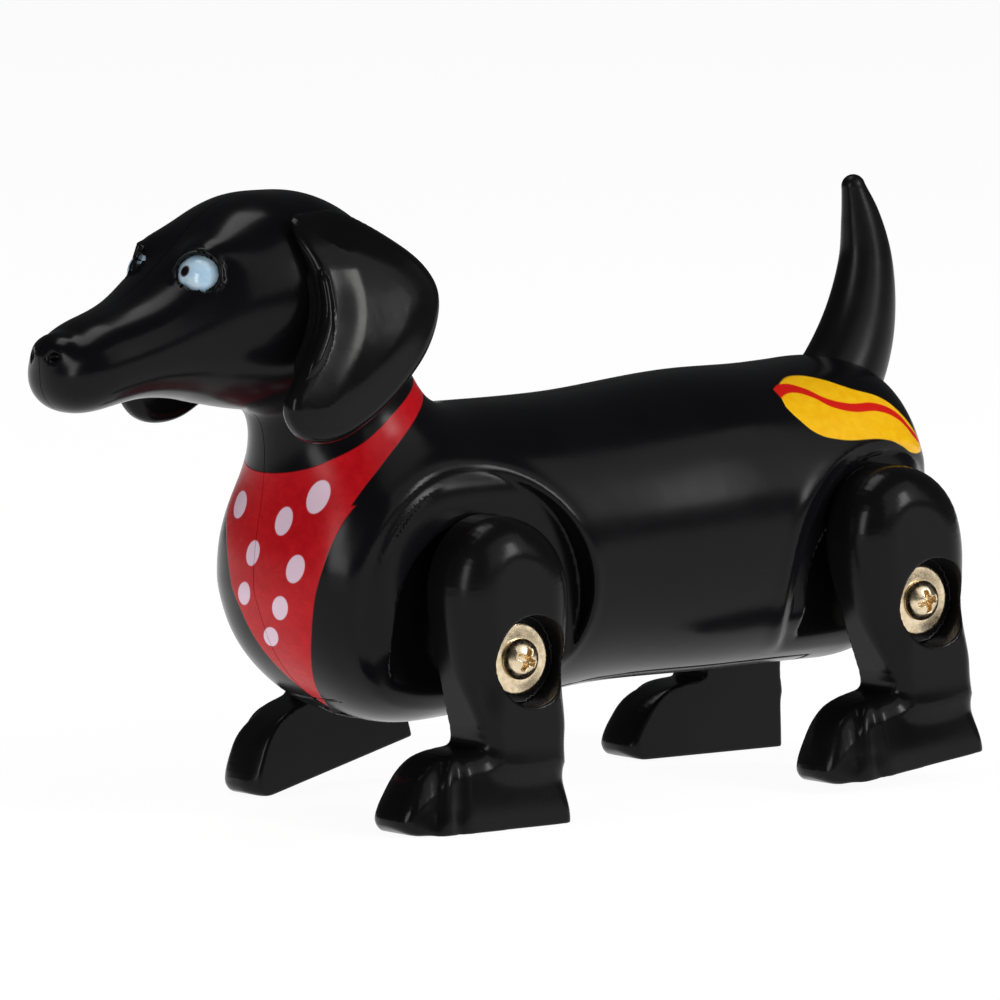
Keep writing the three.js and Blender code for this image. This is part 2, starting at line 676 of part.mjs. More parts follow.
const MATERIALS = {
  black_gloss: { color: 0x0c0c0d, roughness: 0.14 },
  black_satin: { color: 0x111112, roughness: 0.3 },
  eye_blue: { color: 0xbfdcf2, roughness: 0.12 },
  pale_gold: { color: 0xd9c39a, roughness: 0.25, metalness: 1 },
  steel: { color: 0xb9bcc0, roughness: 0.3, metalness: 1 },
  brass: { color: 0xc9a352, roughness: 0.3, metalness: 1 },
  nylon_white: { color: 0xe9e7df, roughness: 0.45 },
  abs_grey: { color: 0x3a3c40, roughness: 0.5 },
  board_green: { color: 0x1f5b35, roughness: 0.5 },
  wire_red: { color: 0xb3201c, roughness: 0.45 },
  wire_black: { color: 0x17171a, roughness: 0.45 },
};

const dog = new THREE.Group();

function addPart(name, finish, solid) {
  const mesh = new THREE.Mesh(toGeometry(solid), new THREE.MeshStandardMaterial(MATERIALS[finish]));
  mesh.name = name;
  dog.add(mesh);
}

function addShells() {
  const shells = halfShells();
  addPart('body_shell_left', 'black_gloss', shells[1]);
  addPart('body_shell_right', 'black_gloss', shells[-1]);
  addPart('tail', 'black_satin', tailSolid(0));
  const headGrown = join([bodyLoft(HEAD, -GAP, 0.95), neckLoft(-GAP), bodyLoft(TORSO, -GAP, 0.9)]);
  for (const [name, side] of [['left', 1], ['right', -1]]) {
    addPart(`ear_${name}`, 'black_gloss', earSolid(side, headGrown));
    addPart(`eye_${name}`, 'eye_blue', eyeBall(side, EYE.r));
  }
  SHELL_SCREWS.forEach(({ x, z, head }, i) => {
    addPart(`shell_screw_${i + 1}`, 'steel', screwY(x, z, -head, -1, 2.1, 1.4, 0.95, head + 2.6));
  });
}

function addCrankSet(end, axle) {
  addPart(`${end}_axle`, 'steel', axleBar(axle));
  for (const [name, side] of [['left', 1], ['right', -1]]) {
    addPart(`${end}_${name}_axle_bush`, 'brass', axleBush(axle, side));
    addPart(`${end}_${name}_crank_disc`, 'nylon_white', crankDisc(axle, side));
    addPart(`${end}_${name}_leg`, 'black_gloss', placedLeg(axle, side));
    addPart(`${end}_${name}_leg_washer`, 'pale_gold', washer(axle, side));
    addPart(`${end}_${name}_leg_screw`, 'pale_gold', legScrew(axle, side));
  }
}

function addDrive() {
  addPart('front_worm_wheel', 'nylon_white', wormWheel(FRONT_AXLE, 0, SHAFT_Z - FRONT_AXLE.z - WHEEL_R));
  addPart('rear_worm_wheel', 'nylon_white', wormWheel(REAR_AXLE, 0, SHAFT_Z - REAR_AXLE.z - WHEEL_R));
  addPart('front_worm', 'brass', worm(FRONT_AXLE.x, SHAFT_Z - FRONT_AXLE.z - WHEEL_R, 0));
  addPart('rear_worm', 'brass', worm(REAR_AXLE.x, SHAFT_Z - REAR_AXLE.z - WHEEL_R, 0));
  addPart('worm_shaft', 'steel', barX(SHAFT_R, 0, SHAFT_Z, -56.4, 13.2, 10));
  addPart('spur_gear', 'nylon_white', gearX(SPUR_MODULE, SPUR_TEETH, Math.PI / 2, 0, SHAFT_Z, SPUR_X,
    SPUR_X + 2.4, SHAFT_R + 0.1));
  addPart('motor_pinion', 'brass', motorPinion());
  addPart('motor_can', 'steel', motorCan());
  addPart('motor_end_cap', 'abs_grey', motorCap());
}

function addChassis() {
  addPart('chassis_left', 'abs_grey', chassisPlate(1));
  addPart('chassis_right', 'abs_grey', chassisPlate(-1));
  addPart('front_shaft_wall', 'abs_grey', shaftWall(11.2, 12.8));
  addPart('rear_shaft_wall', 'abs_grey', shaftWall(-55.4, -54.2));
  addPart('motor_cradle', 'abs_grey', motorCradle());
  addPart('circuit_board', 'board_green', circuitBoard());
  const redRun = [[-23.3, 2, 33.2], [-19, 4.4, 33.2], [-14, 3.8, 33.4], [-9.9, 3.4, 33.5]];
  addPart('motor_wire_red', 'wire_red', wireTube(redRun));
  addPart('motor_wire_black', 'wire_black',
    wireTube([[-23.3, -2, 33.2], [-19, -4.4, 33.2], [-14, -3.8, 33.4], [-9.9, -3.4, 33.5]]));
}

function addBatteryBay() {
  CELL_X.forEach((x, i) => addPart(`button_cell_${i + 1}`, 'steel', cell(x)));
  addPart('battery_tray', 'abs_grey', batteryTray());
  addPart('battery_contact_rear', 'brass', batteryContact(CELL_X[0] - CELL_R - 1.3));
  addPart('battery_contact_front', 'brass', batteryContact(CELL_X[2] + CELL_R + 0.9));
  addPart('battery_door', 'black_gloss', batteryDoor());
  addPart('battery_door_screw', 'steel', doorScrew());
  addPart('switch_housing', 'abs_grey', switchHousing());
  addPart('switch_slider', 'black_satin', switchSlider());
}

addShells();
addCrankSet('front', FRONT_AXLE);
addCrankSet('rear', REAR_AXLE);
addDrive();
addChassis();
addBatteryBay();

dog.position.x = -MIDDLE_X;

export default dog;
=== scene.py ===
import json
import math
import bmesh
import bpy
import numpy as np
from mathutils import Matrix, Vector
from mathutils.geometry import delaunay_2d_cdt


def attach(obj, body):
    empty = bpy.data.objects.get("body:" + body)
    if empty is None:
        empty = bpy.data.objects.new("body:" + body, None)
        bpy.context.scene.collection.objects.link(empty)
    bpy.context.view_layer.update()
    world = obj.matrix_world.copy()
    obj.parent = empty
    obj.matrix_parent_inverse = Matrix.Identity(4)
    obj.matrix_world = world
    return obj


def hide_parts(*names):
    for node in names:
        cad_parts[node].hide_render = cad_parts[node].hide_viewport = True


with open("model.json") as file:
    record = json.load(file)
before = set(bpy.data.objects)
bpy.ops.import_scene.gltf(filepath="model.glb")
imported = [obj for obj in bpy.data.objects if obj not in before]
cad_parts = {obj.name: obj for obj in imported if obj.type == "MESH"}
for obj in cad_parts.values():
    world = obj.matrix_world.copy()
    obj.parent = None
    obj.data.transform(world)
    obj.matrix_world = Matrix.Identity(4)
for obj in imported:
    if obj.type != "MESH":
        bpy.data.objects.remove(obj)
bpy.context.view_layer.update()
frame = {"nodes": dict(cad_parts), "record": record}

MM = 0.001
SHIFT = 1.4          # the frame's X is this much more than the X that the body, head and ears are drawn in
WALL = 1.25          # shell thickness
SEAM = 0.05          # half the gap between the two shells
SIDES = ((1, 'left'), (-1, 'right'))


# ---------------------------------------------------------------- curves and fields

def hermite(xs, ys):
    """A smooth curve through given stations, straight beyond its ends."""
    xs, ys = np.array(xs, float), np.array(ys, float)
    slopes = np.gradient(ys, xs)

    def at(x):
        k = np.clip(np.searchsorted(xs, x) - 1, 0, len(xs) - 2)
        w = xs[k + 1] - xs[k]
        t = (x - xs[k]) / w
        tc = np.clip(t, 0, 1)
        a = (1 + 2 * tc) * (1 - tc) ** 2 * ys[k] + tc * (1 - tc) ** 2 * w * slopes[k]
        b = tc ** 2 * (3 - 2 * tc) * ys[k + 1] + tc ** 2 * (tc - 1) * w * slopes[k + 1]
        over = (t - tc) * w
        return a + b + over * np.where(t > 1, slopes[k + 1], slopes[k])
    return at


def smin(a, b, k):
    """The union of two fields with a fillet of about k."""
    h = np.maximum(k - np.abs(a - b), 0) / k
    return np.minimum(a, b) - h * h * h * k / 6


def smax(a, b, k):
    """The overlap of two fields with an edge rounded by about k."""
    return -smin(-a, -b, k)


def ramp(x, a, b):
    """0 at a and 1 at b, with soft ends."""
    t = np.clip((x - a) / (b - a), 0, 1)
    return t * t * (3 - 2 * t)


def ball(x, y, z, c, r):
    """Ellipsoid: r is one radius or three."""
    r = np.broadcast_to(np.array(r, float), 3)
    px, py, pz = x - c[0], y - c[1], z - c[2]
    q = np.sqrt((px / r[0]) ** 2 + (py / r[1]) ** 2 + (pz / r[2]) ** 2) + 1e-9
    p = np.sqrt(px * px + py * py + pz * pz)
    return p - p / q


def rounded_edge(qx, qy, r):
    """The overlap of two fields, given plus r, with a true radius r on their edge."""
    return np.sqrt(np.maximum(qx, 0) ** 2 + np.maximum(qy, 0) ** 2) + np.minimum(np.maximum(qx, qy), 0) - r


def box(x, y, z, lo, hi, r=0.0):
    c = [(p + q) / 2 for p, q in zip(lo, hi)]
    h = [(q - p) / 2 - r for p, q in zip(lo, hi)]
    dx, dy, dz = np.abs(x - c[0]) - h[0], np.abs(y - c[1]) - h[1], np.abs(z - c[2]) - h[2]
    out = np.sqrt(np.maximum(dx, 0) ** 2 + np.maximum(dy, 0) ** 2 + np.maximum(dz, 0) ** 2)
    return out + np.minimum(np.maximum(dx, np.maximum(dy, dz)), 0) - r


def outline(x, z, points):
    """Signed distance to a closed outline in a plane: below nought inside."""
    pts = np.array(points, float)
    best = np.full(np.shape(x), 1e9)
    inside = np.zeros(np.shape(x), bool)
    for (ax, az), (bx, bz) in zip(pts, np.roll(pts, -1, axis=0)):
        ex, ez = bx - ax, bz - az
        t = np.clip(((x - ax) * ex + (z - az) * ez) / (ex * ex + ez * ez), 0, 1)
        best = np.minimum(best, (x - ax - t * ex) ** 2 + (z - az - t * ez) ** 2)
        crosses = (az > z) != (bz > z)
        with np.errstate(divide='ignore', invalid='ignore'):
            inside ^= crosses & (x < (bx - ax) * (z - az) / np.where(bz == az, 1e-9, bz - az) + ax)
    return np.where(inside, -1, 1) * np.sqrt(best)


def rounded(points, times=2):
    """Corner cutting: turns a few given corners into a smooth closed line."""
    pts = np.array(points, float)
    for _ in range(times):
        nxt = np.roll(pts, -1, axis=0)
        pts = np.stack([0.75 * pts + 0.25 * nxt, 0.25 * pts + 0.75 * nxt], axis=1).reshape(-1, 2)
    return pts


class Swept:
    """A body of superellipse sections along X, with a rounded cap at each end."""

    def __init__(self, stations, n, plan, rear, front):
        s = np.array(stations, float)
        self.top, self.bottom, self.half = (hermite(s[:, 0], s[:, i]) for i in (1, 2, 3))
        self.n, self.plan, self.rear, self.front = n, plan, rear, front

    def __call__(self, x, y, z):
        n = self.n
        top, bottom, half = self.top(x), self.bottom(x), np.maximum(self.half(x), 0.5)
        mid, high = (top + bottom) / 2, np.maximum((top - bottom) / 2, 0.5)
        (r0, r1), (f0, f1) = self.rear, self.front
        px = np.where(x > f0, (x - f0), np.where(x < r0, (x - r0), 0))
        cap = np.where(x > f0, px / (f1 - f0), px / (r0 - r1))
        plan = np.where(x > f0, self.plan, n)
        flat = (np.abs(y / half) ** plan + np.abs(cap) ** plan + 1e-9) ** (n / plan)
        q = (flat + np.abs((z - mid) / high) ** n) ** (1 / n)
        p = np.sqrt(px * px + y * y + (z - mid) ** 2)
        return p - p / q


# ---------------------------------------------------------------- the dog's form

TORSO = Swept([
    # x, top, bottom, half width
    [-60.0, 49.6, 12.0, 15.6], [-54.0, 48.3, 12.4, 15.8], [-48.0, 47.2, 12.6, 16.3],
    [-41.5, 46.7, 12.6, 16.9], [-30.0, 46.5, 12.4, 17.0], [-12.0, 44.9, 12.1, 16.7],
    [2.5, 44.6, 10.3, 17.0], [12.5, 44.6, 9.6, 17.0], [19.5, 44.2, 9.6, 16.6],
    [25.0, 43.2, 10.2, 16.2], [32.0, 42.0, 11.0, 15.8]],
    2.2, 2.9, (-46.0, -60.2), (9.0, 28.9))
HEAD = Swept([
    [12.0, 67.0, 44.6, 11.9], [20.0, 68.3, 44.9, 12.3], [27.0, 69.0, 45.1, 12.3], [32.5, 68.5, 45.4, 11.8],
    [37.0, 66.3, 46.2, 10.6], [41.0, 62.6, 47.0, 9.1], [46.0, 58.6, 47.2, 7.7], [51.5, 56.3, 46.2, 6.8],
    [55.4, 55.3, 45.4, 6.3], [58.5, 55.0, 45.2, 6.1]],
    2.15, 2.3, (26.0, 13.8), (51.0, 57.5))
NECK = [[26.0, 15.0, 12.6, 13.0], [30.0, 15.5, 12.0, 12.4], [37.0, 17.0, 10.8, 10.8],
        [42.0, 17.9, 10.2, 9.6], [48.0, 19.6, 9.5, 9.2], [56.0, 23.5, 8.5, 8.8]]
NECK_X, NECK_A, NECK_B = (hermite([s[0] for s in NECK], [s[i] for s in NECK]) for i in (1, 2, 3))

FRONT_AXLE, REAR_AXLE = (7.2, 19.802), (-50.2, 19.395)
# each arch: the middles of its circles from the axle, their radii, and the depths of its flat floors
RIM_MID, LEDGE_MID, WELL_MID = (3.1, 4.6), (2.1, 3.9), (1.8, 1.8)
RIM, LEDGE, WELL = 14.6, 13.9, 11.6
LEDGE_Y, WELL_Y = 14.1, 11.4
DISH_DEPTH, BEAD_HEIGHT, BEAD_WIDTH = 0.45, 0.10, 0.9
EYE = (39.5, 4.86, 60.02)
EYE_WAY = (0.77, 0.56, 0.30)
EYE_R = 3.0
EYE_GAP, EYE_ROOM = 0.14, 1.1         # clearance round the eye outside, and inside the shell
LID_R, LID_LIFT, LID_THICK = 2.7, 2.2, 0.32
# shell screws, put in from the right: x, z, and how far out the head's seat is
SCREWS = [(-20.5, 37.5, 12.5), (19.0, 31.0, 12.5), (-56.0, 33.6, 7.0), (27.0, 55.0, 8.5)]
BOSS_R, COUNTERBORE_R, PILOT_R = 2.6, 2.1, 1.1
# each guide pin's place from its axle, its radius, and where it starts and ends
GUIDE_X, GUIDE_Z, GUIDE_R, GUIDE_IN, GUIDE_OUT = 4.4, 9.6, 0.9, 10.9, 14.2
# rooms round each axle
AXLE_BORE_R, WHEEL_ROOM_R, WHEEL_ROOM_Y = 2.1, 4.5, 2.5
BUSH_SEAT_R, BUSH_Y, BUSH_HALF = 2.9, 9.2, 0.7


def neck(x, y, z):
    """A stack of ellipses up a leaning middle line."""
    zc = np.clip(z, 26, 58)
    cx, a, b = NECK_X(zc), NECK_A(zc), NECK_B(zc)
    px, pz = x - cx, z - zc
    q = np.sqrt((px / a) ** 2 + (y / b) ** 2 + (pz / 4.0) ** 2) + 1e-9
    p = np.sqrt(px * px + y * y + pz * pz)
    return p - p / q


def form(x, y, z):
    """The outside of the dog before its arches are cut."""
    d = smin(TORSO(x, y, z), neck(x, y, z), 7.0)
    head = HEAD(x, y, z)
    head = smin(head, ball(x, np.abs(y), z, (37.4, 4.4, 62.2), (3.8, 3.4, 2.4)), 3.0)     # brow
    head = smin(head, ball(x, y, z, (55.0, 0, 52.3), (2.6, 3.7, 2.5)), 1.1)               # nose
    head = smax(head, -ball(x, np.abs(y), z, (57.2, 1.9, 52.4), (1.0, 0.6, 0.45)), 0.7)   # nostrils
    return smin(d, head, 4.5)


def lids(x, y, z, whole):
    """A soft raised ring round each eye, with a narrow groove inside it."""
    px, py, pz = x - EYE[0], np.abs(y) - EYE[1], z - EYE[2]
    n = np.sqrt(sum(c * c for c in EYE_WAY))
    along = (px * EYE_WAY[0] + py * EYE_WAY[1] + pz * EYE_WAY[2]) / n
    far = np.sqrt(px * px + py * py + pz * pz)
    out = np.sqrt(np.maximum(far * far - along * along, 0))
    ring = np.hypot(out - LID_R, along - LID_LIFT) - LID_THICK
    return smax(smin(whole, ring, 0.6), EYE_R + EYE_GAP - far, 0.3)


def circle(x, z, axle, middle, radius):
    """Distance outside a circle whose middle is given from the axle."""
    return np.hypot(x - axle[0] - middle[0], z - axle[1] - middle[1]) - radius


def arches(x, y, z, grow=0.0):
    """The round pockets that the legs move in: a flat floor, and a deeper well for the crank disc."""
    ay = np.abs(y)
    cut = None
    for axle in (FRONT_AXLE, REAR_AXLE):
        ledge = smax(circle(x, z, axle, LEDGE_MID, LEDGE + grow), LEDGE_Y - grow - ay, 0.6)
        well = smax(circle(x, z, axle, WELL_MID, WELL + grow), WELL_Y - grow - ay, 0.5)
        one = smin(ledge, well, 0.5)
        cut = one if cut is None else np.minimum(cut, one)
    return cut


def dish(x, y, z):
    """How far the band inside each arch's rim lies below the flank, with a fine bead along the rim."""
    rim = np.minimum(circle(x, z, FRONT_AXLE, RIM_MID, RIM), circle(x, z, REAR_AXLE, RIM_MID, RIM))
    drop = DISH_DEPTH * ramp(-rim, -0.3, 1.3)
    bead = BEAD_HEIGHT * np.exp(-((rim - 0.6) / BEAD_WIDTH) ** 2)
    return (drop - bead) * ramp(np.abs(y), 9.0, 12.0)


def shells(x, y, z):
    """Both half shells as one hollow skin; the seam is cut afterwards."""
    x = x - SHIFT
    ay = np.abs(y)
    whole = form(x, y, z)
    sunk = dish(x, y, z)
    skin = lids(x, y, z, whole) + sunk
    skin = smax(skin, -arches(x, y, z), 1.1)
    inner = np.maximum(whole + sunk + WALL, -arches(x, y, z, WALL))
    eye = np.sqrt((x - EYE[0]) ** 2 + (ay - EYE[1]) ** 2 + (z - EYE[2]) ** 2)
    inner = np.maximum(inner, EYE_R + EYE_ROOM - eye)
    solid = np.maximum(skin, -inner)
    # screw bosses with their counterbores and pilot holes
    for sx, sz, head in SCREWS:
        r = np.hypot(x - sx, z - sz)
        solid = np.minimum(solid, np.maximum(r - BOSS_R, skin))
        counterbore = np.maximum(r - COUNTERBORE_R, y + head)
        solid = smax(solid, -counterbore, 0.25)
        solid = np.maximum(solid, -np.maximum(r - PILOT_R, y - 0.6 * head))
    # guide pins, and the room for each axle, its worm wheel and its bushes
    for axle_x, axle_z in (FRONT_AXLE, REAR_AXLE):
        pin = np.hypot(x - axle_x - GUIDE_X, z - axle_z - GUIDE_Z) - GUIDE_R
        solid = smin(solid, np.maximum(np.maximum(pin, ay - GUIDE_OUT), GUIDE_IN - ay), 0.3)
        r = np.hypot(x - axle_x, z - axle_z)
        solid = np.maximum(solid, -np.maximum(r - AXLE_BORE_R, ay - 14))
        solid = np.maximum(solid, -np.maximum(r - WHEEL_ROOM_R, ay - WHEEL_ROOM_Y))
        solid = np.maximum(solid, -np.maximum(r - BUSH_SEAT_R, np.abs(ay - BUSH_Y) - BUSH_HALF))
    # the battery opening, the switch slot, and the room for the switch housing
    solid = smax(solid, -box(x, y, z, (-42.75, -7.45, 6), (-3.25, 7.45, 20), 0.8), 0.3)
    solid = smax(solid, -box(x, y, z, (12.7, -1.5, 6), (19.3, 1.5, 18), 0.5), 0.3)
    solid = np.maximum(solid, -box(x, y, z, (10.7, -4.3, 13.2), (21.3, 4.3, 24)))
    return solid


def door(x, y, z):
    """The battery door: a piece of the belly with a catch, a screw hole and a thumb scoop."""
    x = x - SHIFT
    d = np.maximum(form(x, y, z), -(form(x, y, z) + WALL))
    d = smax(d, box(x, y, z, (-42.5, -7.2, 6), (-3.5, 7.2, 14.6), 0.8), 0.25)
    d = np.minimum(d, box(x, y, z, (-42.1, -3, 13.2), (-40.9, 3, 15.2)))
    hole = np.hypot(x + 5.9, y)
    d = smax(d, -np.maximum(hole - 1.9, z - 13.5), 0.2)
    d = np.maximum(d, -(hole - 0.9))
    grip = ball(x, y, z, (-37.6, 0, 10.9), (2.2, 5.0, 2.1))
    return smax(d, -grip, 0.4)


# ---------------------------------------------------------------- legs, in their own frame

SOLE = 18.1          # from the screw down to the sole
LEG_FACE = 7.4       # the leg's thickness at its lobe
WASHER_SEAT_R, WASHER_SEAT_Y, PIN_HOLE_R = 5.0, 3.7, 2.6
# side outlines of the lobe with its shank and of the paw, and the paw's plan
LOBE = rounded([(-4.9, -9.0), (-5.2, -4.0), (-6.3, 1.0), (-6.9, 6.2), (-6.0, 10.8), (-3.2, 14.2),
                (1.0, 15.8), (4.6, 15.4), (7.6, 13.2), (9.2, 9.8), (9.4, 6.0), (8.3, 0.8),
                (6.9, -4.8), (5.9, -8.6), (6.2, -13.0), (-4.7, -13.0)], 2)
PAW = rounded([(-5.2, -21.0), (-5.1, -15.0), (-4.9, -9.6), (-1.0, -9.4), (3.5, -9.4), (8.0, -9.4),
               (11.6, -10.0), (14.4, -11.5), (16.6, -13.9), (17.8, -16.6), (16.2, -17.9),
               (13.6, -18.6), (8.0, -21.0)], 2)
PLAN = rounded([(-14, -3), (10.5, -3), (15.2, -0.8), (17.9, 1.4), (18.0, 4.4), (16.3, 7.1), (12.6, 8.4),
                (7.0, 7.9), (-3.0, 7.5), (-14, 7.4)], 2)
GROOVES = (34.0, 60.0)      # the grooves between the toes, in degrees round TOE_MID
GROOVE_WIDTH, GROOVE_DEPTH = 10.0, 0.85
TOE_MID = (8.0, 3.4)


def leg(x, y, z):
    """Upright, with the screw axis at nought and the inner face at y = 0."""
    lobe = outline(x, z, LOBE)
    # the outer edge has a wide radius on the lobe and a smaller one down the shank
    edge = 4.6 - 2.6 * ramp(-z, 0.0, 8.0)
    d = smax(lobe, y - LEG_FACE, 0.4)
    qx, qy = lobe + edge, y - (LEG_FACE - edge)
    d = np.maximum(d, rounded_edge(qx, qy, edge))
    paw = outline(x, z, PAW)
    plan = outline(x, y, PLAN) + 0.7 * ramp(z, -17.0, -9.5)      # the foot flares down to its sole
    r = 2.4 - 1.5 * ramp(-z, 13.0, 17.6)
    qx, qy = paw + r, plan + r
    block = rounded_edge(qx, qy, r)
    toe_x, toe_y = x - TOE_MID[0], y - TOE_MID[1]
    turn = np.degrees(np.arctan2(toe_y, toe_x))
    front = ramp(np.hypot(toe_x, toe_y), 2.5, 6.0)
    dip = sum(np.exp(-((turn - g) / GROOVE_WIDTH) ** 2) for g in GROOVES)
    block = block + GROOVE_DEPTH * dip * front * ramp(-z, 8.2, 9.8) * (1 - 0.35 * ramp(-z, 15.0, 18.0))
    d = smin(d, block, 2.0)
    d = smax(d, -y, 0.35)
    d = smax(d, -SOLE - z, 0.4)
    # counterbore for the washer, the crank pin's hole, and the slot for the guide pin
    r = np.hypot(x, z)
    d = smax(d, -np.maximum(r - WASHER_SEAT_R, WASHER_SEAT_Y - y), 0.35)
    d = np.maximum(d, -(r - PIN_HOLE_R))
    d = np.maximum(d, -box(x, y, z, (1.2, -1, 4.5), (4.2, 2.2, 12.5)))
    return d


# ---------------------------------------------------------------- ears

EAR_LINE = rounded([(28.2, 67.2), (31.4, 67.0), (31.8, 64.6), (30.7, 61.0), (31.0, 56.0), (34.2, 50.6),
                    (36.9, 46.6), (34.4, 42.8), (29.6, 42.6), (25.4, 44.8), (21.0, 48.2), (17.0, 52.4),
                    (14.8, 57.6), (16.2, 61.4), (20.6, 65.0), (24.6, 67.4)], 3)
EAR_EDGE = 1.3       # radius of the flap's edge
EAR_Y = hermite([42, 46, 50, 55, 60, 64, 67, 70], [15.3, 15.5, 15.3, 14.6, 13.3, 11.3, 9.0, 5.8])


def ear(x, y, z):
    """A hanging flap that follows EAR_Y, cut to the skull, with the peg that holds it."""
    x = x - SHIFT
    line = outline(x, z, EAR_LINE)
    mid = EAR_Y(z)
    depth = np.minimum(-line, 6.0)
    thick = 1.5 + 0.6 * ramp(depth, 0.0, 5.0) - 0.7 * ramp(z, 61.0, 67.0)
    off = y - mid
    qx, qy = line + EAR_EDGE, np.abs(off) - thick + EAR_EDGE
    flap = rounded_edge(qx, qy, EAR_EDGE)
    # two rolled lips along the front edge, with a groove between them
    lip = np.hypot(line + 0.55, np.abs(off) - 1.25) - 0.72
    front = ramp(x, 27.0, 31.0) * ramp(z, 45.0, 52.0) * (1 - ramp(z, 60.0, 64.5))
    flap = smin(flap, lip + 3 * (1 - front), 0.45)
    skull = form(x, y, z)
    flap = np.maximum(flap, -(skull - 0.12))
    peg = np.maximum(np.hypot(x - 22, z - 58) - 1.6, np.abs(y - 11.25) - 2.2)
    return np.minimum(flap, peg)


# ---------------------------------------------------------------- skin over a field

SLAB = 24            # grid layers worked out at a time


def skin_over(field, lo, hi, step):
    """Surface nets, then each point is moved onto the field's own nought surface."""
    n = [int(np.ceil((b - a) / step)) + 1 for a, b in zip(lo, hi)]
    gx, gy, gz = (lo[i] + step * np.arange(n[i]) for i in range(3))
    v = np.empty(n, np.float32)
    for i0 in range(0, n[0], SLAB):
        i1 = min(i0 + SLAB, n[0])
        x, y, z = np.meshgrid(gx[i0:i1], gy, gz, indexing='ij')
        v[i0:i1] = field(x, y, z)
    v[v == 0] = 1e-6
    neg = v < 0
    count = np.zeros([k - 1 for k in n], np.uint8)
    corners = [(a, b, c) for a in (0, 1) for b in (0, 1) for c in (0, 1)]
    for a, b, c in corners:
        count += neg[a:n[0] - 1 + a, b:n[1] - 1 + b, c:n[2] - 1 + c]
    cells = np.argwhere((count > 0) & (count < 8))
    number = np.full(count.shape, -1, np.int32)
    number[tuple(cells.T)] = np.arange(len(cells))
    val = {k: v[cells[:, 0] + k[0], cells[:, 1] + k[1], cells[:, 2] + k[2]] for k in corners}
    total, hits = np.zeros((len(cells), 3)), np.zeros(len(cells))
    for a in corners:
        for axis in range(3):
            if a[axis]:
                continue
            b = tuple(1 if i == axis else a[i] for i in range(3))
            cross = (val[a] < 0) != (val[b] < 0)
            t = np.where(cross, val[a] / np.where(cross, val[a] - val[b], 1), 0)
            p = np.tile(np.array(a, float), (len(cells), 1))
            p[:, axis] = t
            total += p * cross[:, None]
            hits += cross
    points = np.array(lo) + step * (cells + total / hits[:, None])
    quads = []
    for axis in range(3):
        u, w = (axis + 1) % 3, (axis + 2) % 3
        first = [slice(1, n[i] - 1) for i in range(3)]
        first[axis] = slice(0, n[axis] - 1)
        second = list(first)
        second[axis] = slice(1, n[axis])
        change = neg[tuple(first)] != neg[tuple(second)]
        at = np.argwhere(change)
        offset = np.array([1, 1, 1])
        offset[axis] = 0
        at = at + offset
        started = neg[tuple(at.T)]
        ring = []
        for du, dw in ((-1, -1), (0, -1), (0, 0), (-1, 0)):
            k = at.copy()
            k[:, u] += du
            k[:, w] += dw
            ring.append(number[tuple(k.T)])
        q = np.stack(ring, axis=1)
        q[~started] = q[~started][:, ::-1]
        quads.append(q)
    quads = np.concatenate(quads)
    for _ in range(3):
        f = field(*points.T)
        g = slope(field, points)
        move = -f[:, None] * g / np.maximum((g * g).sum(1), 0.05)[:, None]
        size = np.linalg.norm(move, axis=1)
        move *= np.minimum(1, 0.45 * step / np.maximum(size, 1e-9))[:, None]
        points = points + move
    return points, quads


def slope(field, points, e=0.03):
    """The field's gradient, by differences over e each way."""
    x, y, z = points.T
    return np.stack([field(x + e, y, z) - field(x - e, y, z), field(x, y + e, z) - field(x, y - e, z),
                     field(x, y, z + e) - field(x, y, z - e)], axis=1) / (2 * e)


def unit(g):
    g /= np.maximum(np.linalg.norm(g, axis=1), 1e-9)[:, None]
    return g


# ---------------------------------------------------------------- node material helpers

def srgb(r, g, b):
    """A linear colour from 0 to 255 display values."""
    def lin(c):
        c /= 255
        return c / 12.92 if c <= 0.04045 else ((c + 0.055) / 1.055) ** 2.4
    return lin(r), lin(g), lin(b), 1.0


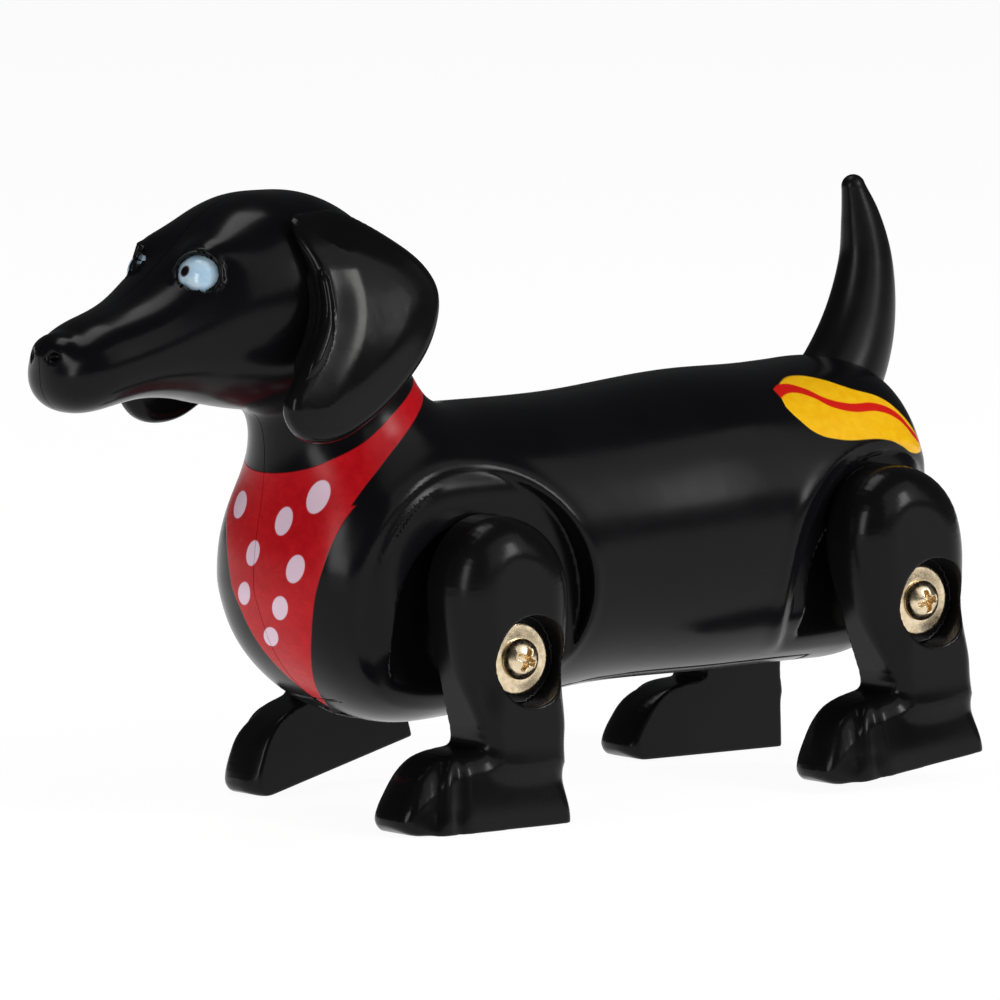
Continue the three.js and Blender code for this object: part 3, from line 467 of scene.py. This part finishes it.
class Nodes:
    """A short way to write a node material."""

    def __init__(self, name):
        self.mat = bpy.data.materials.new(name)
        self.mat.use_nodes = True
        self.tree = self.mat.node_tree
        self.tree.nodes.clear()
        self.out = self.tree.nodes.new('ShaderNodeOutputMaterial')
        self.bsdf = self.tree.nodes.new('ShaderNodeBsdfPrincipled')
        self.link(self.bsdf.outputs['BSDF'], self.out.inputs['Surface'])
        self.place = self.new('ShaderNodeTexCoord').outputs['Object']

    def new(self, kind, **settings):
        node = self.tree.nodes.new(kind)
        for key, value in settings.items():
            setattr(node, key, value)
        return node

    def link(self, a, b):
        self.tree.links.new(a, b)

    def put(self, socket, value):
        """Link a socket, or set a constant."""
        if isinstance(value, bpy.types.NodeSocket):
            self.link(value, socket)
        else:
            socket.default_value = value

    def math(self, op, a, b=0.0, c=0.0):
        node = self.new('ShaderNodeMath', operation=op)
        for socket, value in zip(node.inputs, (a, b, c)):
            self.put(socket, value)
        return node.outputs[0]

    def least(self, *values):
        out = values[0]
        for v in values[1:]:
            out = self.math('MINIMUM', out, v)
        return out

    def most(self, *values):
        out = values[0]
        for v in values[1:]:
            out = self.math('MAXIMUM', out, v)
        return out

    def xyz(self):
        """Object coordinates in millimetres."""
        node = self.new('ShaderNodeSeparateXYZ')
        self.link(self.place, node.inputs[0])
        return [self.math('MULTIPLY', s, 1000.0) for s in node.outputs]

    def curve(self, value, points, span):
        """A given curve: points are (in, out), span is the out range."""
        ins = [p[0] for p in points]
        low, high = min(ins), max(ins)
        unit = self.math('DIVIDE', self.math('SUBTRACT', value, low), high - low)
        node = self.new('ShaderNodeFloatCurve')
        line = node.mapping.curves[0]
        while len(line.points) < len(points):
            line.points.new(0.5, 0.5)
        for knot, (a, b) in zip(line.points, sorted(points)):
            knot.location = ((a - low) / (high - low), (b - span[0]) / (span[1] - span[0]))
            knot.handle_type = 'AUTO'
        node.mapping.update()
        self.link(self.math('MINIMUM', self.math('MAXIMUM', unit, 0.0), 1.0), node.inputs['Value'])
        return self.math('MULTIPLY_ADD', node.outputs[0], span[1] - span[0], span[0])

    def edge(self, value, soft):
        """1 where value is above nought, over a soft width in millimetres."""
        node = self.new('ShaderNodeMapRange', interpolation_type='SMOOTHSTEP')
        self.put(node.inputs['Value'], value)
        node.inputs['From Min'].default_value = -soft
        node.inputs['From Max'].default_value = soft
        return node.outputs[0]

    def mix(self, factor, a, b):
        node = self.new('ShaderNodeMix', data_type='RGBA')
        self.put(node.inputs['Factor'], factor)
        self.put(node.inputs['A'], a)
        self.put(node.inputs['B'], b)
        return node.outputs['Result']

    def noise(self, scale, detail=3.0, rough=0.55, stretch=None):
        """Noise from 0 to 1; scale is in features a metre."""
        node = self.new('ShaderNodeTexNoise')
        place = self.place
        if stretch:
            mapping = self.new('ShaderNodeMapping')
            mapping.inputs['Scale'].default_value = stretch
            self.link(place, mapping.inputs['Vector'])
            place = mapping.outputs[0]
        self.link(place, node.inputs['Vector'])
        node.inputs['Scale'].default_value = scale
        node.inputs['Detail'].default_value = detail
        node.inputs['Roughness'].default_value = rough
        return node.outputs['Fac']

    def spread(self, value, low, high, out_low, out_high):
        """Map low to high onto out_low to out_high."""
        node = self.new('ShaderNodeMapRange')
        self.put(node.inputs['Value'], value)
        for key, v in zip(('From Min', 'From Max', 'To Min', 'To Max'), (low, high, out_low, out_high)):
            self.put(node.inputs[key], v)
        return node.outputs[0]

    def bump(self, height, distance, strength=1.0, onto=None):
        node = self.new('ShaderNodeBump')
        self.put(node.inputs['Height'], height)
        node.inputs['Distance'].default_value = distance
        node.inputs['Strength'].default_value = strength
        if onto is not None:
            self.link(onto, node.inputs['Normal'])
        return node.outputs[0]

    def set(self, **values):
        """Set the shader's own sockets, with _ for a space in a socket's name."""
        for key, value in values.items():
            self.put(self.bsdf.inputs[key.replace('_', ' ')], value)
        return self.mat


def black_plastic(m, base, low, high):
    """Polished ABS: near black, with handling haze and the faint ripple of the mould."""
    haze = m.noise(55.0, 4.0)
    smear = m.noise(240.0, 3.0, stretch=(1.0, 0.5, 1.8))
    handling = m.math('MULTIPLY_ADD', smear, 0.35, m.math('MULTIPLY', haze, 0.65))
    rough = m.spread(handling, 0.35, 0.68, low, high)
    colour = m.mix(m.spread(haze, 0.35, 0.65, 0.0, 1.0), base, tuple(c * 1.35 for c in base[:3]) + (1.0,))
    ripple = m.bump(m.noise(420.0, 2.0), 0.000012)
    grain = m.bump(m.noise(5200.0, 2.0), 0.0000016, onto=ripple)
    return colour, rough, grain


def polish(m):
    """The constants of the dim, clear reflections on the black plastic."""
    m.bsdf.inputs['IOR'].default_value = 1.53
    m.bsdf.inputs['Specular IOR Level'].default_value = 0.13
    return m.mat


def dot(m, x, y, z, c, wide, tall, lean):
    """An upright oval printed over the surface point c, in millimetres; above nought inside."""
    dx, dy, dz = (m.math('SUBTRACT', a, b) for a, b in zip((x, y, z), c))
    side = m.math('ADD', m.math('MULTIPLY', dy, 0.80), m.math('MULTIPLY', dx, -0.60))
    deep = m.math('ADD', m.math('MULTIPLY', dx, 0.80), m.math('MULTIPLY', dy, 0.60))
    turned = m.math('MULTIPLY_ADD', dz, -lean, side)
    q = m.math('SQRT', m.math('ADD', m.math('ADD', m.math('POWER', m.math('DIVIDE', turned, wide), 2.0),
                                            m.math('POWER', m.math('DIVIDE', dz, tall), 2.0)),
                              m.math('POWER', m.math('DIVIDE', deep, 4.0), 2.0)))
    return m.math('MULTIPLY', m.math('SUBTRACT', 1.0, q), wide)


def shell_material():
    """Black shells with the printed bandana on the chest and the printed bun on the left hip."""
    m = Nodes('black_gloss_printed')
    colour, rough, normal = black_plastic(m, srgb(11, 11, 13), 0.17, 0.26)
    x, y, z = m.xyz()
    # bandana: collar strap between two slanting lines, and a bib that hangs on the chest
    top = m.math('SUBTRACT', m.curve(x, [(6.0, 52.0), (14.6, 47.4), (18.7, 44.9), (22.9, 41.8), (26.0, 40.0),
                                         (28.3, 38.7), (32.0, 37.2)], (30.0, 55.0)), z)
    rear = m.math('SUBTRACT', z, m.curve(x, [(6.0, 49.5), (12.0, 46.4), (16.2, 43.8), (22.7, 38.6),
                                             (26.0, 34.8), (29.0, 30.0), (32.0, 24.0)], (20.0, 55.0)))
    left = m.math('SUBTRACT', m.curve(z, [(12.0, 0.9), (14.2, 2.9), (19.1, 6.5), (23.8, 8.5), (27.7, 9.6),
                                          (31.5, 10.4), (35.0, 11.2), (40.0, 13.0)], (-2.0, 16.0)), y)
    right = m.math('ADD', m.curve(z, [(12.0, -0.9), (16.9, 1.4), (20.2, 2.9), (24.2, 4.2), (30.0, 6.4),
                                      (33.0, 8.6), (35.2, 10.9), (40.0, 14.0)], (-2.0, 16.0)), y)
    bib = m.least(left, right, m.math('SUBTRACT', x, 20.0), m.math('SUBTRACT', 35.2, z))
    cloth = m.least(top, m.most(bib, m.least(rear, m.math('SUBTRACT', z, 34.9))))
    red = m.edge(cloth, 0.09)
    # slightly uneven ink
    ink = m.noise(900.0, 3.0)
    red_colour = m.mix(m.spread(ink, 0.35, 0.7, 0.0, 1.0), srgb(176, 14, 24), srgb(190, 22, 30))
    spots = None
    for c, wide, tall in (((29.5, -4.5, 34.3), 1.1, 1.5), ((29.8, 4.1, 33.2), 1.1, 1.55),
                          ((27.7, 7.6, 36.0), 1.3, 1.8), ((30.8, -0.3, 29.4), 0.95, 1.4),
                          ((30.1, 6.6, 28.2), 1.15, 1.55), ((30.7, -2.1, 24.8), 0.95, 1.35),
                          ((30.2, 3.9, 23.7), 1.1, 1.4), ((29.0, 0.6, 20.2), 1.1, 1.15)):
        one = dot(m, x, y, z, c, wide, tall, 0.22)
        spots = one if spots is None else m.most(spots, one)
    spot = m.edge(spots, 0.07)
    # bun with its sausage line
    over = m.math('SUBTRACT', m.curve(x, [(-54.3, 37.4), (-53.6, 38.4), (-51.2, 40.9), (-48.5, 42.9),
                                          (-44.8, 44.1), (-42.0, 45.2), (-39.7, 45.6), (-36.8, 45.2),
                                          (-35.0, 44.3), (-34.2, 42.8)], (34.0, 48.0)), z)
    under = m.math('SUBTRACT', z, m.curve(x, [(-54.3, 37.2), (-53.2, 36.6), (-51.3, 36.7), (-49.3, 37.6),
                                              (-46.7, 38.5), (-39.4, 39.0), (-36.6, 39.8), (-34.9, 41.4),
                                              (-34.2, 42.6)], (34.0, 48.0)))
    bun = m.edge(m.least(over, under, m.math('SUBTRACT', y, 1.0), m.math('SUBTRACT', -34.2, x)), 0.08)
    line = m.curve(x, [(-54.4, 37.4), (-52.3, 38.8), (-49.9, 40.9), (-47.0, 42.0), (-43.1, 42.2),
                       (-40.4, 42.9), (-38.6, 44.0), (-36.6, 44.5), (-34.3, 44.0)], (34.0, 48.0))
    sausage = m.edge(m.math('SUBTRACT', 0.45, m.math('ABSOLUTE', m.math('SUBTRACT', z, line))), 0.07)
    sausage = m.math('MULTIPLY', sausage, m.edge(m.math('SUBTRACT', y, 1.0), 0.1))
    ends = m.least(m.math('ADD', x, 54.6), m.math('SUBTRACT', -34.4, x))
    sausage = m.math('MULTIPLY', sausage, m.edge(ends, 0.1))
    yellow = m.mix(m.spread(ink, 0.35, 0.7, 0.0, 1.0), srgb(250, 186, 12), srgb(255, 200, 28))
    colour = m.mix(red, colour, red_colour)
    colour = m.mix(m.math('MULTIPLY', spot, red), colour, srgb(226, 198, 214))
    colour = m.mix(bun, colour, yellow)
    colour = m.mix(sausage, colour, srgb(214, 30, 22))
    printed = m.most(red, bun, sausage)
    rough = m.math('ADD', rough, m.math('MULTIPLY', printed, 0.07))
    step = m.bump(printed, 0.00002, 0.6, onto=normal)
    m.set(Base_Color=colour, Roughness=rough, Normal=step)
    return polish(m)


def plain_black(name, base, low, high):
    m = Nodes(name)
    colour, rough, normal = black_plastic(m, base, low, high)
    m.set(Base_Color=colour, Roughness=rough, Normal=normal)
    return polish(m)


def metal(name, light, dark, low, high, scale=1500.0):
    m = Nodes(name)
    grime = m.noise(scale, 4.0)
    fine = m.noise(scale * 6, 2.0)
    m.set(Base_Color=m.mix(m.spread(grime, 0.35, 0.7, 0.0, 0.5), light, dark), Metallic=1.0,
          Roughness=m.spread(grime, 0.35, 0.7, low, high), Normal=m.bump(fine, 0.000006))
    return m.mat


def moulded(name, light, dark, low, high, depth=0.000008, scale=2200.0):
    m = Nodes(name)
    mottle = m.noise(scale * 0.12, 4.0)
    m.set(Base_Color=m.mix(m.spread(mottle, 0.35, 0.65, 0.0, 1.0), light, dark),
          Roughness=m.spread(mottle, 0.35, 0.65, low, high), Normal=m.bump(m.noise(scale, 3.0), depth))
    return m.mat


# ---------------------------------------------------------------- pieces

def mesh_piece(name, points, faces, field=None):
    """A mesh from millimetre points, with its normals from a field if one is given."""
    data = bpy.data.meshes.new(name)
    data.from_pydata((np.asarray(points) * MM).tolist(), [], [list(map(int, f)) for f in faces])
    data.polygons.foreach_set('use_smooth', [True] * len(data.polygons))
    data.update()
    obj = bpy.data.objects.new(name, data)
    bpy.context.scene.collection.objects.link(obj)
    if field is not None:
        g = unit(slope(field, np.asarray(points, float), 0.05))
        data.normals_split_custom_set_from_vertices(g.tolist())
    return obj


def facing(quads, side):
    """The faces, turned over where the piece is a mirror image."""
    return quads if side > 0 else quads[:, ::-1]


def finish_piece(obj, body, slot, material, *nodes):
    obj.data.materials.clear()
    obj.data.materials.append(material)
    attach(obj, body)
    if nodes:
        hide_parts(*nodes)


def grid(full):
    """A mesh step in millimetres."""
    return full


def cap_seam(bm, edges, side):
    """Close the cut along the seam with the flat edge of the moulding's wall."""
    verts = list({v for e in edges for v in e.verts})
    at = {v: i for i, v in enumerate(verts)}
    flat = [Vector((v.co.x, v.co.z)) for v in verts]
    pairs = [(at[e.verts[0]], at[e.verts[1]]) for e in edges]
    out, _, faces, came_from, _, _ = delaunay_2d_cdt(flat, pairs, [], 0, 1e-5)
    mids = np.array([[sum(out[i][k] for i in f) / len(f) for k in (0, 1)] for f in faces])
    inside = shells(mids[:, 0], np.zeros(len(mids)), mids[:, 1]) < 0
    corner = [verts[source[0]] if source else bm.verts.new((p.x, side * SEAM, p.y))
              for p, source in zip(out, came_from)]
    for face, keep in zip(faces, inside):
        ring = [corner[i] for i in face]
        if keep and len(set(ring)) == len(ring) and not bm.faces.get(ring):
            bm.faces.new(ring if side > 0 else ring[::-1])


def make_shells(material):
    points, quads = skin_over(shells, (-60.2, -18.4, 7.0), (60.6, 18.4, 71.0), grid(0.42))
    data = bpy.data.meshes.new('both')
    data.from_pydata(points.tolist(), [], quads.tolist())
    for side, word in SIDES:
        bm = bmesh.new()
        bm.from_mesh(data)
        cut = bmesh.ops.bisect_plane(bm, geom=bm.verts[:] + bm.edges[:] + bm.faces[:], dist=1e-4,
                                     plane_co=(0, side * SEAM, 0), plane_no=(0, side, 0), clear_inner=True)
        cap_seam(bm, [e for e in cut['geom_cut'] if isinstance(e, bmesh.types.BMEdge)], side)
        part = bpy.data.meshes.new(f'shell_{word}')
        bm.to_mesh(part)
        bm.free()
        count = len(part.vertices)
        co = np.empty(count * 3)
        part.vertices.foreach_get('co', co)
        co = co.reshape(-1, 3)
        g = unit(slope(shells, co, 0.05))
        part.polygons.foreach_set('use_smooth', [True] * len(part.polygons))
        vert_of = np.empty(len(part.loops), int)
        part.loops.foreach_get('vertex_index', vert_of)
        normals = g[vert_of]
        # faces that lie whole on the seam's plane are flat, whatever the field's slope says at their corners
        sizes = np.empty(len(part.polygons), int)
        part.polygons.foreach_get('loop_total', sizes)
        owner = np.repeat(np.arange(len(sizes)), sizes)
        off = np.abs(co[vert_of, 1] - side * SEAM)
        widest = np.zeros(len(sizes))
        np.maximum.at(widest, owner, off)
        normals[widest[owner] < 1e-3] = (0, -side, 0)
        part.vertices.foreach_set('co', (co * MM).ravel())
        part.update()
        part.normals_split_custom_set(normals.tolist())
        obj = bpy.data.objects.new(f'shell_{word}', part)
        bpy.context.scene.collection.objects.link(obj)
        finish_piece(obj, 'body', 'black_gloss', material, f'body_shell_{word}')
    bpy.data.meshes.remove(data)


LEG_Y = 14.8         # the legs' inner faces
# crank pin x and z in the frame, side, and toe-down angle
LEGS = {'front_left': (9.186, 18.100, 1, 0.0), 'front_right': (8.014, 21.504, -1, 15.0),
        'rear_left': (-47.550, 20.690, 1, 6.7), 'rear_right': (-50.050, 18.100, -1, 0.0)}


def make_legs(material):
    points, quads = skin_over(leg, (-8.6, -0.8, -19.4), (19.4, 10.4, 18.4), grid(0.26))
    g = unit(slope(leg, points, 0.04))
    for name, (px, pz, side, pitch) in LEGS.items():
        a = math.radians(pitch)

        def turn(v):
            return np.stack([v[:, 0] * math.cos(a) + v[:, 2] * math.sin(a), side * v[:, 1],
                             -v[:, 0] * math.sin(a) + v[:, 2] * math.cos(a)], axis=1)
        where = turn(points) + np.array([px, side * LEG_Y, pz])
        where[:, 2] = np.maximum(where[:, 2], 0.0)
        obj = mesh_piece(name + '_leg_moulding', where, facing(quads, side))
        obj.data.normals_split_custom_set_from_vertices(turn(g).tolist())
        finish_piece(obj, name + '_leg', 'black_gloss', material, name + '_leg')


def make_ears(material):
    points, quads = skin_over(ear, (14, 5, 41), (40, 20, 71), grid(0.3))
    g = unit(slope(ear, points, 0.05))
    for side, word in SIDES:
        flip = np.array([1, side, 1])
        obj = mesh_piece(f'ear_flap_{word}', points * flip, facing(quads, side))
        obj.data.normals_split_custom_set_from_vertices((g * flip).tolist())
        finish_piece(obj, 'body', 'black_gloss', material, f'ear_{word}')


# the tail's middle line, with its radii across and fore-and-aft
TAIL = [(-49.2, 41.4, 4.9, 5.2), (-51.9, 45.0, 4.4, 5.1), (-53.8, 49.0, 3.9, 4.7), (-54.9, 53.4, 3.4, 4.0),
        (-55.2, 58.0, 2.8, 3.2), (-54.5, 62.4, 2.1, 2.4), (-53.4, 66.1, 1.35, 1.4)]


def make_tail(material):
    knots = np.array(TAIL, float)
    s = np.arange(len(knots), dtype=float)
    line = [hermite(s, knots[:, i]) for i in range(4)]
    rings, sides, steps, cap = [], 48, 96, 8

    def add_ring(up=0.0, shrink=1.0):
        rings.append([(cx + tx * up + math.cos(a) * tz * rx * shrink, math.sin(a) * ry * shrink,
                       cz + tz * up - math.cos(a) * tx * rx * shrink)
                      for a in (2 * math.pi * k / sides for k in range(sides))])

    for i in range(steps + 1):
        t = s[-1] * i / steps
        cx, cz, ry, rx = (float(c(np.array(t))) for c in line)
        dx, dz = (float(c(np.array(t + 1e-3)) - c(np.array(t - 1e-3))) for c in line[:2])
        length = math.hypot(dx, dz)
        tx, tz = dx / length, dz / length
        add_ring()
    # the round tip
    for k in range(1, cap + 1):
        b = math.pi / 2 * k / cap
        add_ring(math.sin(b) * rx, max(math.cos(b), 0.02))
    points = [p for ring in rings for p in ring]
    faces = []
    for r in range(len(rings) - 1):
        for k in range(sides):
            n = (k + 1) % sides
            faces.append((r * sides + k, r * sides + n, (r + 1) * sides + n, (r + 1) * sides + k))
    faces.append(tuple(reversed(range(sides))))
    faces.append(tuple((len(rings) - 1) * sides + k for k in range(sides)))
    obj = mesh_piece('tail_moulding', points, faces)
    bm = bmesh.new()
    bm.from_mesh(obj.data)
    bmesh.ops.recalc_face_normals(bm, faces=bm.faces)
    bm.to_mesh(obj.data)
    bm.free()
    finish_piece(obj, 'body', 'black_satin', material, 'tail')


EYE_AT = (EYE[0] + SHIFT, EYE[1], EYE[2])
PUPIL_OFF = (2.72, 0.12, 1.15)        # the pupil's middle from the eye's
PUPIL_R, IRIS_R = 0.55, 0.70
FLATTEN = 0.10


def make_eyes():
    """A dome behind each lid, with its printed pupil."""
    for side, word in SIDES:
        bm = bmesh.new()
        bmesh.ops.create_uvsphere(bm, u_segments=48, v_segments=32, radius=EYE_R)
        out = Vector((EYE_WAY[0], side * EYE_WAY[1], EYE_WAY[2])).normalized()
        for v in bm.verts:
            # a slightly flattened dome
            along = v.co.dot(out)
            v.co -= out * (FLATTEN * max(along, 0.0))
            v.co += Vector((EYE_AT[0], side * EYE_AT[1], EYE_AT[2]))
        data = bpy.data.meshes.new(f'eye_dome_{word}')
        for v in bm.verts:
            v.co *= MM
        bm.to_mesh(data)
        bm.free()
        data.polygons.foreach_set('use_smooth', [True] * len(data.polygons))
        obj = bpy.data.objects.new(f'eye_dome_{word}', data)
        bpy.context.scene.collection.objects.link(obj)
        m = Nodes(f'eye_{word}')
        x, y, z = m.xyz()
        pupil = (EYE_AT[0] + PUPIL_OFF[0], side * (EYE_AT[1] + PUPIL_OFF[1]), EYE_AT[2] + PUPIL_OFF[2])
        d = [m.math('POWER', m.math('SUBTRACT', a, b), 2.0) for a, b in zip((x, y, z), pupil)]
        gap = m.math('SQRT', m.math('ADD', m.math('ADD', d[0], d[1]), d[2]))
        black = m.edge(m.math('SUBTRACT', PUPIL_R, gap), 0.07)
        brown = m.edge(m.math('SUBTRACT', IRIS_R, gap), 0.10)
        cloud = m.spread(m.noise(700.0, 3.0), 0.35, 0.7, 0.0, 1.0)
        blue = m.mix(cloud, srgb(168, 205, 232), srgb(205, 228, 242))
        iris = m.mix(brown, blue, srgb(92, 70, 66))
        m.set(Base_Color=m.mix(black, iris, srgb(10, 10, 12)), Roughness=0.12,
              Normal=m.bump(m.noise(1500.0, 2.0), 0.000004))
        finish_piece(obj, 'body', 'eye_blue', m.mat, f'eye_{word}')


WASHER_R, WASHER_HOLE_R, WASHER_THICK = 3.98, 1.25, 0.5
CROSS_HALF, CROSS_REACH, CROSS_FLOOR = 0.36, 1.35, 0.55
HEAD_R, SHANK_R, SHANK_LONG = 2.28, 0.95, 4.2
WASHER_Y, SCREW_Y = 18.6, 19.15       # the washer's back and the screw head's seat, from the middle


def washer(x, y, z):
    """A stamped washer, axis Y, back at y = 0, its face a little higher near its hole."""
    r = np.hypot(x, z)
    face = y - WASHER_THICK - 0.12 * ramp(r, 3.6, 2.0)
    return smax(smax(r - WASHER_R, WASHER_HOLE_R - r, 0.15), smax(-y, face, 0.2), 0.3)


def screw_head(x, y, z):
    """A pan head with a cross recess, seat at y = 0, and its shank below."""
    r = np.hypot(x, z)
    dome = ball(x, y, z, (0, -0.3, 0), (2.5, 2.05, 2.5))
    head = smax(smax(dome, -y, 0.15), r - HEAD_R, 0.25)
    arm = np.minimum(np.maximum(np.abs(x) - CROSS_HALF, np.abs(z) - CROSS_REACH),
                     np.maximum(np.abs(z) - CROSS_HALF, np.abs(x) - CROSS_REACH))
    taper = 0.35 * (1.75 - y)
    arm = smin(arm, r - 0.62, 0.3)
    recess = np.maximum(arm + 0.5 * taper, CROSS_FLOOR - y)
    head = smax(head, -recess, 0.12)
    shank = np.maximum(r - SHANK_R, np.maximum(-SHANK_LONG - y, y - 0.2))
    return np.minimum(head, shank)


def make_fasteners(gold):
    """The washer and screw that hold each leg, seated in its counterbore."""
    w_points, w_quads = skin_over(washer, (-4.3, -0.3, -4.3), (4.3, 1.0, 4.3), grid(0.16))
    s_points, s_quads = skin_over(screw_head, (-2.6, -4.5, -2.6), (2.6, 2.2, 2.6), grid(0.11))
    spin = {'front_left': 24, 'front_right': 67, 'rear_left': -14, 'rear_right': 40}
    parts = (('washer', w_points, w_quads, WASHER_Y), ('screw', s_points, s_quads, SCREW_Y))
    for name, (px, pz, side, _) in LEGS.items():
        crank = name.split('_')[0] + '_crank'
        for piece, points, quads, lift in parts:
            a = math.radians(spin[name])
            p = points.copy()
            p[:, 0], p[:, 2] = (points[:, 0] * math.cos(a) - points[:, 2] * math.sin(a),
                                points[:, 0] * math.sin(a) + points[:, 2] * math.cos(a))
            p[:, 1] = side * (p[:, 1] + lift)
            p += np.array([px, 0, pz])
            obj = mesh_piece(f'{name}_{piece}_turned', p, facing(quads, side))
            finish_piece(obj, crank, 'pale_gold', gold, f'{name}_leg_{piece}')


def make_door(material):
    points, quads = skin_over(door, (-42, -8, 8.5), (-1, 8, 16), grid(0.32))
    obj = mesh_piece('battery_door_cover', points, quads, door)
    finish_piece(obj, 'battery_door', 'black_gloss', material, 'battery_door')


# ---------------------------------------------------------------- build

gloss = shell_material()
leg_black = plain_black('black_gloss_legs', srgb(12, 12, 13), 0.16, 0.27)
ear_black = plain_black('black_gloss_ears', srgb(12, 12, 13), 0.14, 0.24)
satin = plain_black('black_satin_tail', srgb(14, 14, 15), 0.24, 0.36)
gold = metal('pale_gold', srgb(236, 218, 186), srgb(205, 180, 140), 0.16, 0.34)
steel = metal('steel', srgb(205, 207, 210), srgb(165, 168, 172), 0.2, 0.4)
brass = metal('brass', srgb(212, 176, 96), srgb(176, 138, 70), 0.2, 0.4)
nylon = moulded('nylon_white', srgb(236, 233, 222), srgb(222, 217, 203), 0.35, 0.5)
grey = moulded('abs_grey', srgb(62, 64, 69), srgb(50, 52, 57), 0.4, 0.6)
board = moulded('board_green', srgb(34, 96, 56), srgb(26, 78, 46), 0.3, 0.5)
wire_red = moulded('wire_red', srgb(182, 32, 28), srgb(160, 24, 22), 0.35, 0.5)
wire_black = moulded('wire_black', srgb(22, 22, 25), srgb(16, 16, 19), 0.35, 0.5)
by_slot = {'black_gloss': leg_black, 'black_satin': satin, 'pale_gold': gold, 'steel': steel, 'brass': brass,
           'nylon_white': nylon, 'abs_grey': grey, 'board_green': board, 'wire_red': wire_red,
           'wire_black': wire_black, 'eye_blue': leg_black}
slot_of = {item['node']: item['material_slot'] for item in frame['record']['subparts']}
for node_name, node in frame['nodes'].items():
    node.data.materials.clear()
    node.data.materials.append(by_slot.get(slot_of.get(node_name), grey))

make_shells(gloss)
make_legs(leg_black)
make_ears(ear_black)
make_tail(satin)
make_eyes()
make_fasteners(gold)
make_door(leg_black)


# ---------------------------------------------------------------- floor, light, camera

FLOOR_REACH, FLOOR_Z = 9, -0.00002
floor_data = bpy.data.meshes.new('floor')
floor_data.from_pydata([(x * FLOOR_REACH, y * FLOOR_REACH, FLOOR_Z)
                        for x, y in ((-1, -1), (1, -1), (1, 1), (-1, 1))], [], [(0, 1, 2, 3)])
floor = bpy.data.objects.new('floor', floor_data)
bpy.context.scene.collection.objects.link(floor)
fm = Nodes('pale_floor')
fm.set(Base_Color=fm.mix(fm.noise(3.0, 2.0), srgb(88, 88, 88), srgb(92, 92, 91)), Roughness=0.9)
fm.bsdf.inputs['Specular IOR Level'].default_value = 0.1
fm.bsdf.inputs['Emission Color'].default_value = (1, 1, 1, 1)
fm.bsdf.inputs['Emission Strength'].default_value = 0.95
floor.data.materials.append(fm.mat)


LIGHT_AIM = Vector((0, 0, 0.035))


def softbox(name, way, distance, wide, tall, power, colour=(1, 1, 1)):
    """A rectangular lamp that faces the dog from the way given."""
    light = bpy.data.lights.new(name, 'AREA')
    light.shape, light.size, light.size_y = 'RECTANGLE', wide, tall
    light.energy, light.color = power, colour
    obj = bpy.data.objects.new(name, light)
    way = Vector(way).normalized()
    obj.location = LIGHT_AIM + way * distance
    obj.rotation_mode = 'QUATERNION'
    obj.rotation_quaternion = way.to_track_quat('Z', 'Y')
    bpy.context.scene.collection.objects.link(obj)


softbox('key', (-0.42, 0.80, 0.42), 1.1, 0.22, 0.5, 4.2, (1.0, 0.985, 0.97))
softbox('sky', (-0.30, 0.75, 0.60), 1.5, 1.7, 1.3, 6.5)
softbox('fill', (0.95, 0.35, 0.30), 1.3, 0.3, 0.7, 4.0)
softbox('top', (0.1, -0.25, 0.95), 1.5, 0.9, 0.5, 4.5)

world = bpy.data.worlds.new('studio')
world.use_nodes = True
world.node_tree.nodes['Background'].inputs['Color'].default_value = (0.95, 0.97, 1.0, 1.0)
world.node_tree.nodes['Background'].inputs['Strength'].default_value = 0.05
bpy.context.scene.world = world

# the camera: a long lens from the dog's left front, slightly above it
AIM = Vector((-0.00279, 0.0, 0.0332))
TURN, RISE = math.radians(37.2), math.radians(5.75)
CAMERA_DISTANCE = 1.0
WAY = Vector((math.sin(TURN) * math.cos(RISE), math.cos(TURN) * math.cos(RISE), math.sin(RISE)))
cam_data = bpy.data.cameras.new('camera')
SENSOR_MM, LENS_MM = 36.0, 324.0
cam_data.sensor_width, cam_data.lens = SENSOR_MM, LENS_MM
cam_data.clip_start, cam_data.clip_end = 0.05, 50.0
cam = bpy.data.objects.new('camera', cam_data)
cam.location = AIM + WAY * CAMERA_DISTANCE
cam.rotation_mode = 'QUATERNION'
cam.rotation_quaternion = WAY.to_track_quat('Z', 'Y')
bpy.context.scene.collection.objects.link(cam)
bpy.context.scene.camera = cam
bpy.context.scene.view_settings.view_transform = 'Standard'
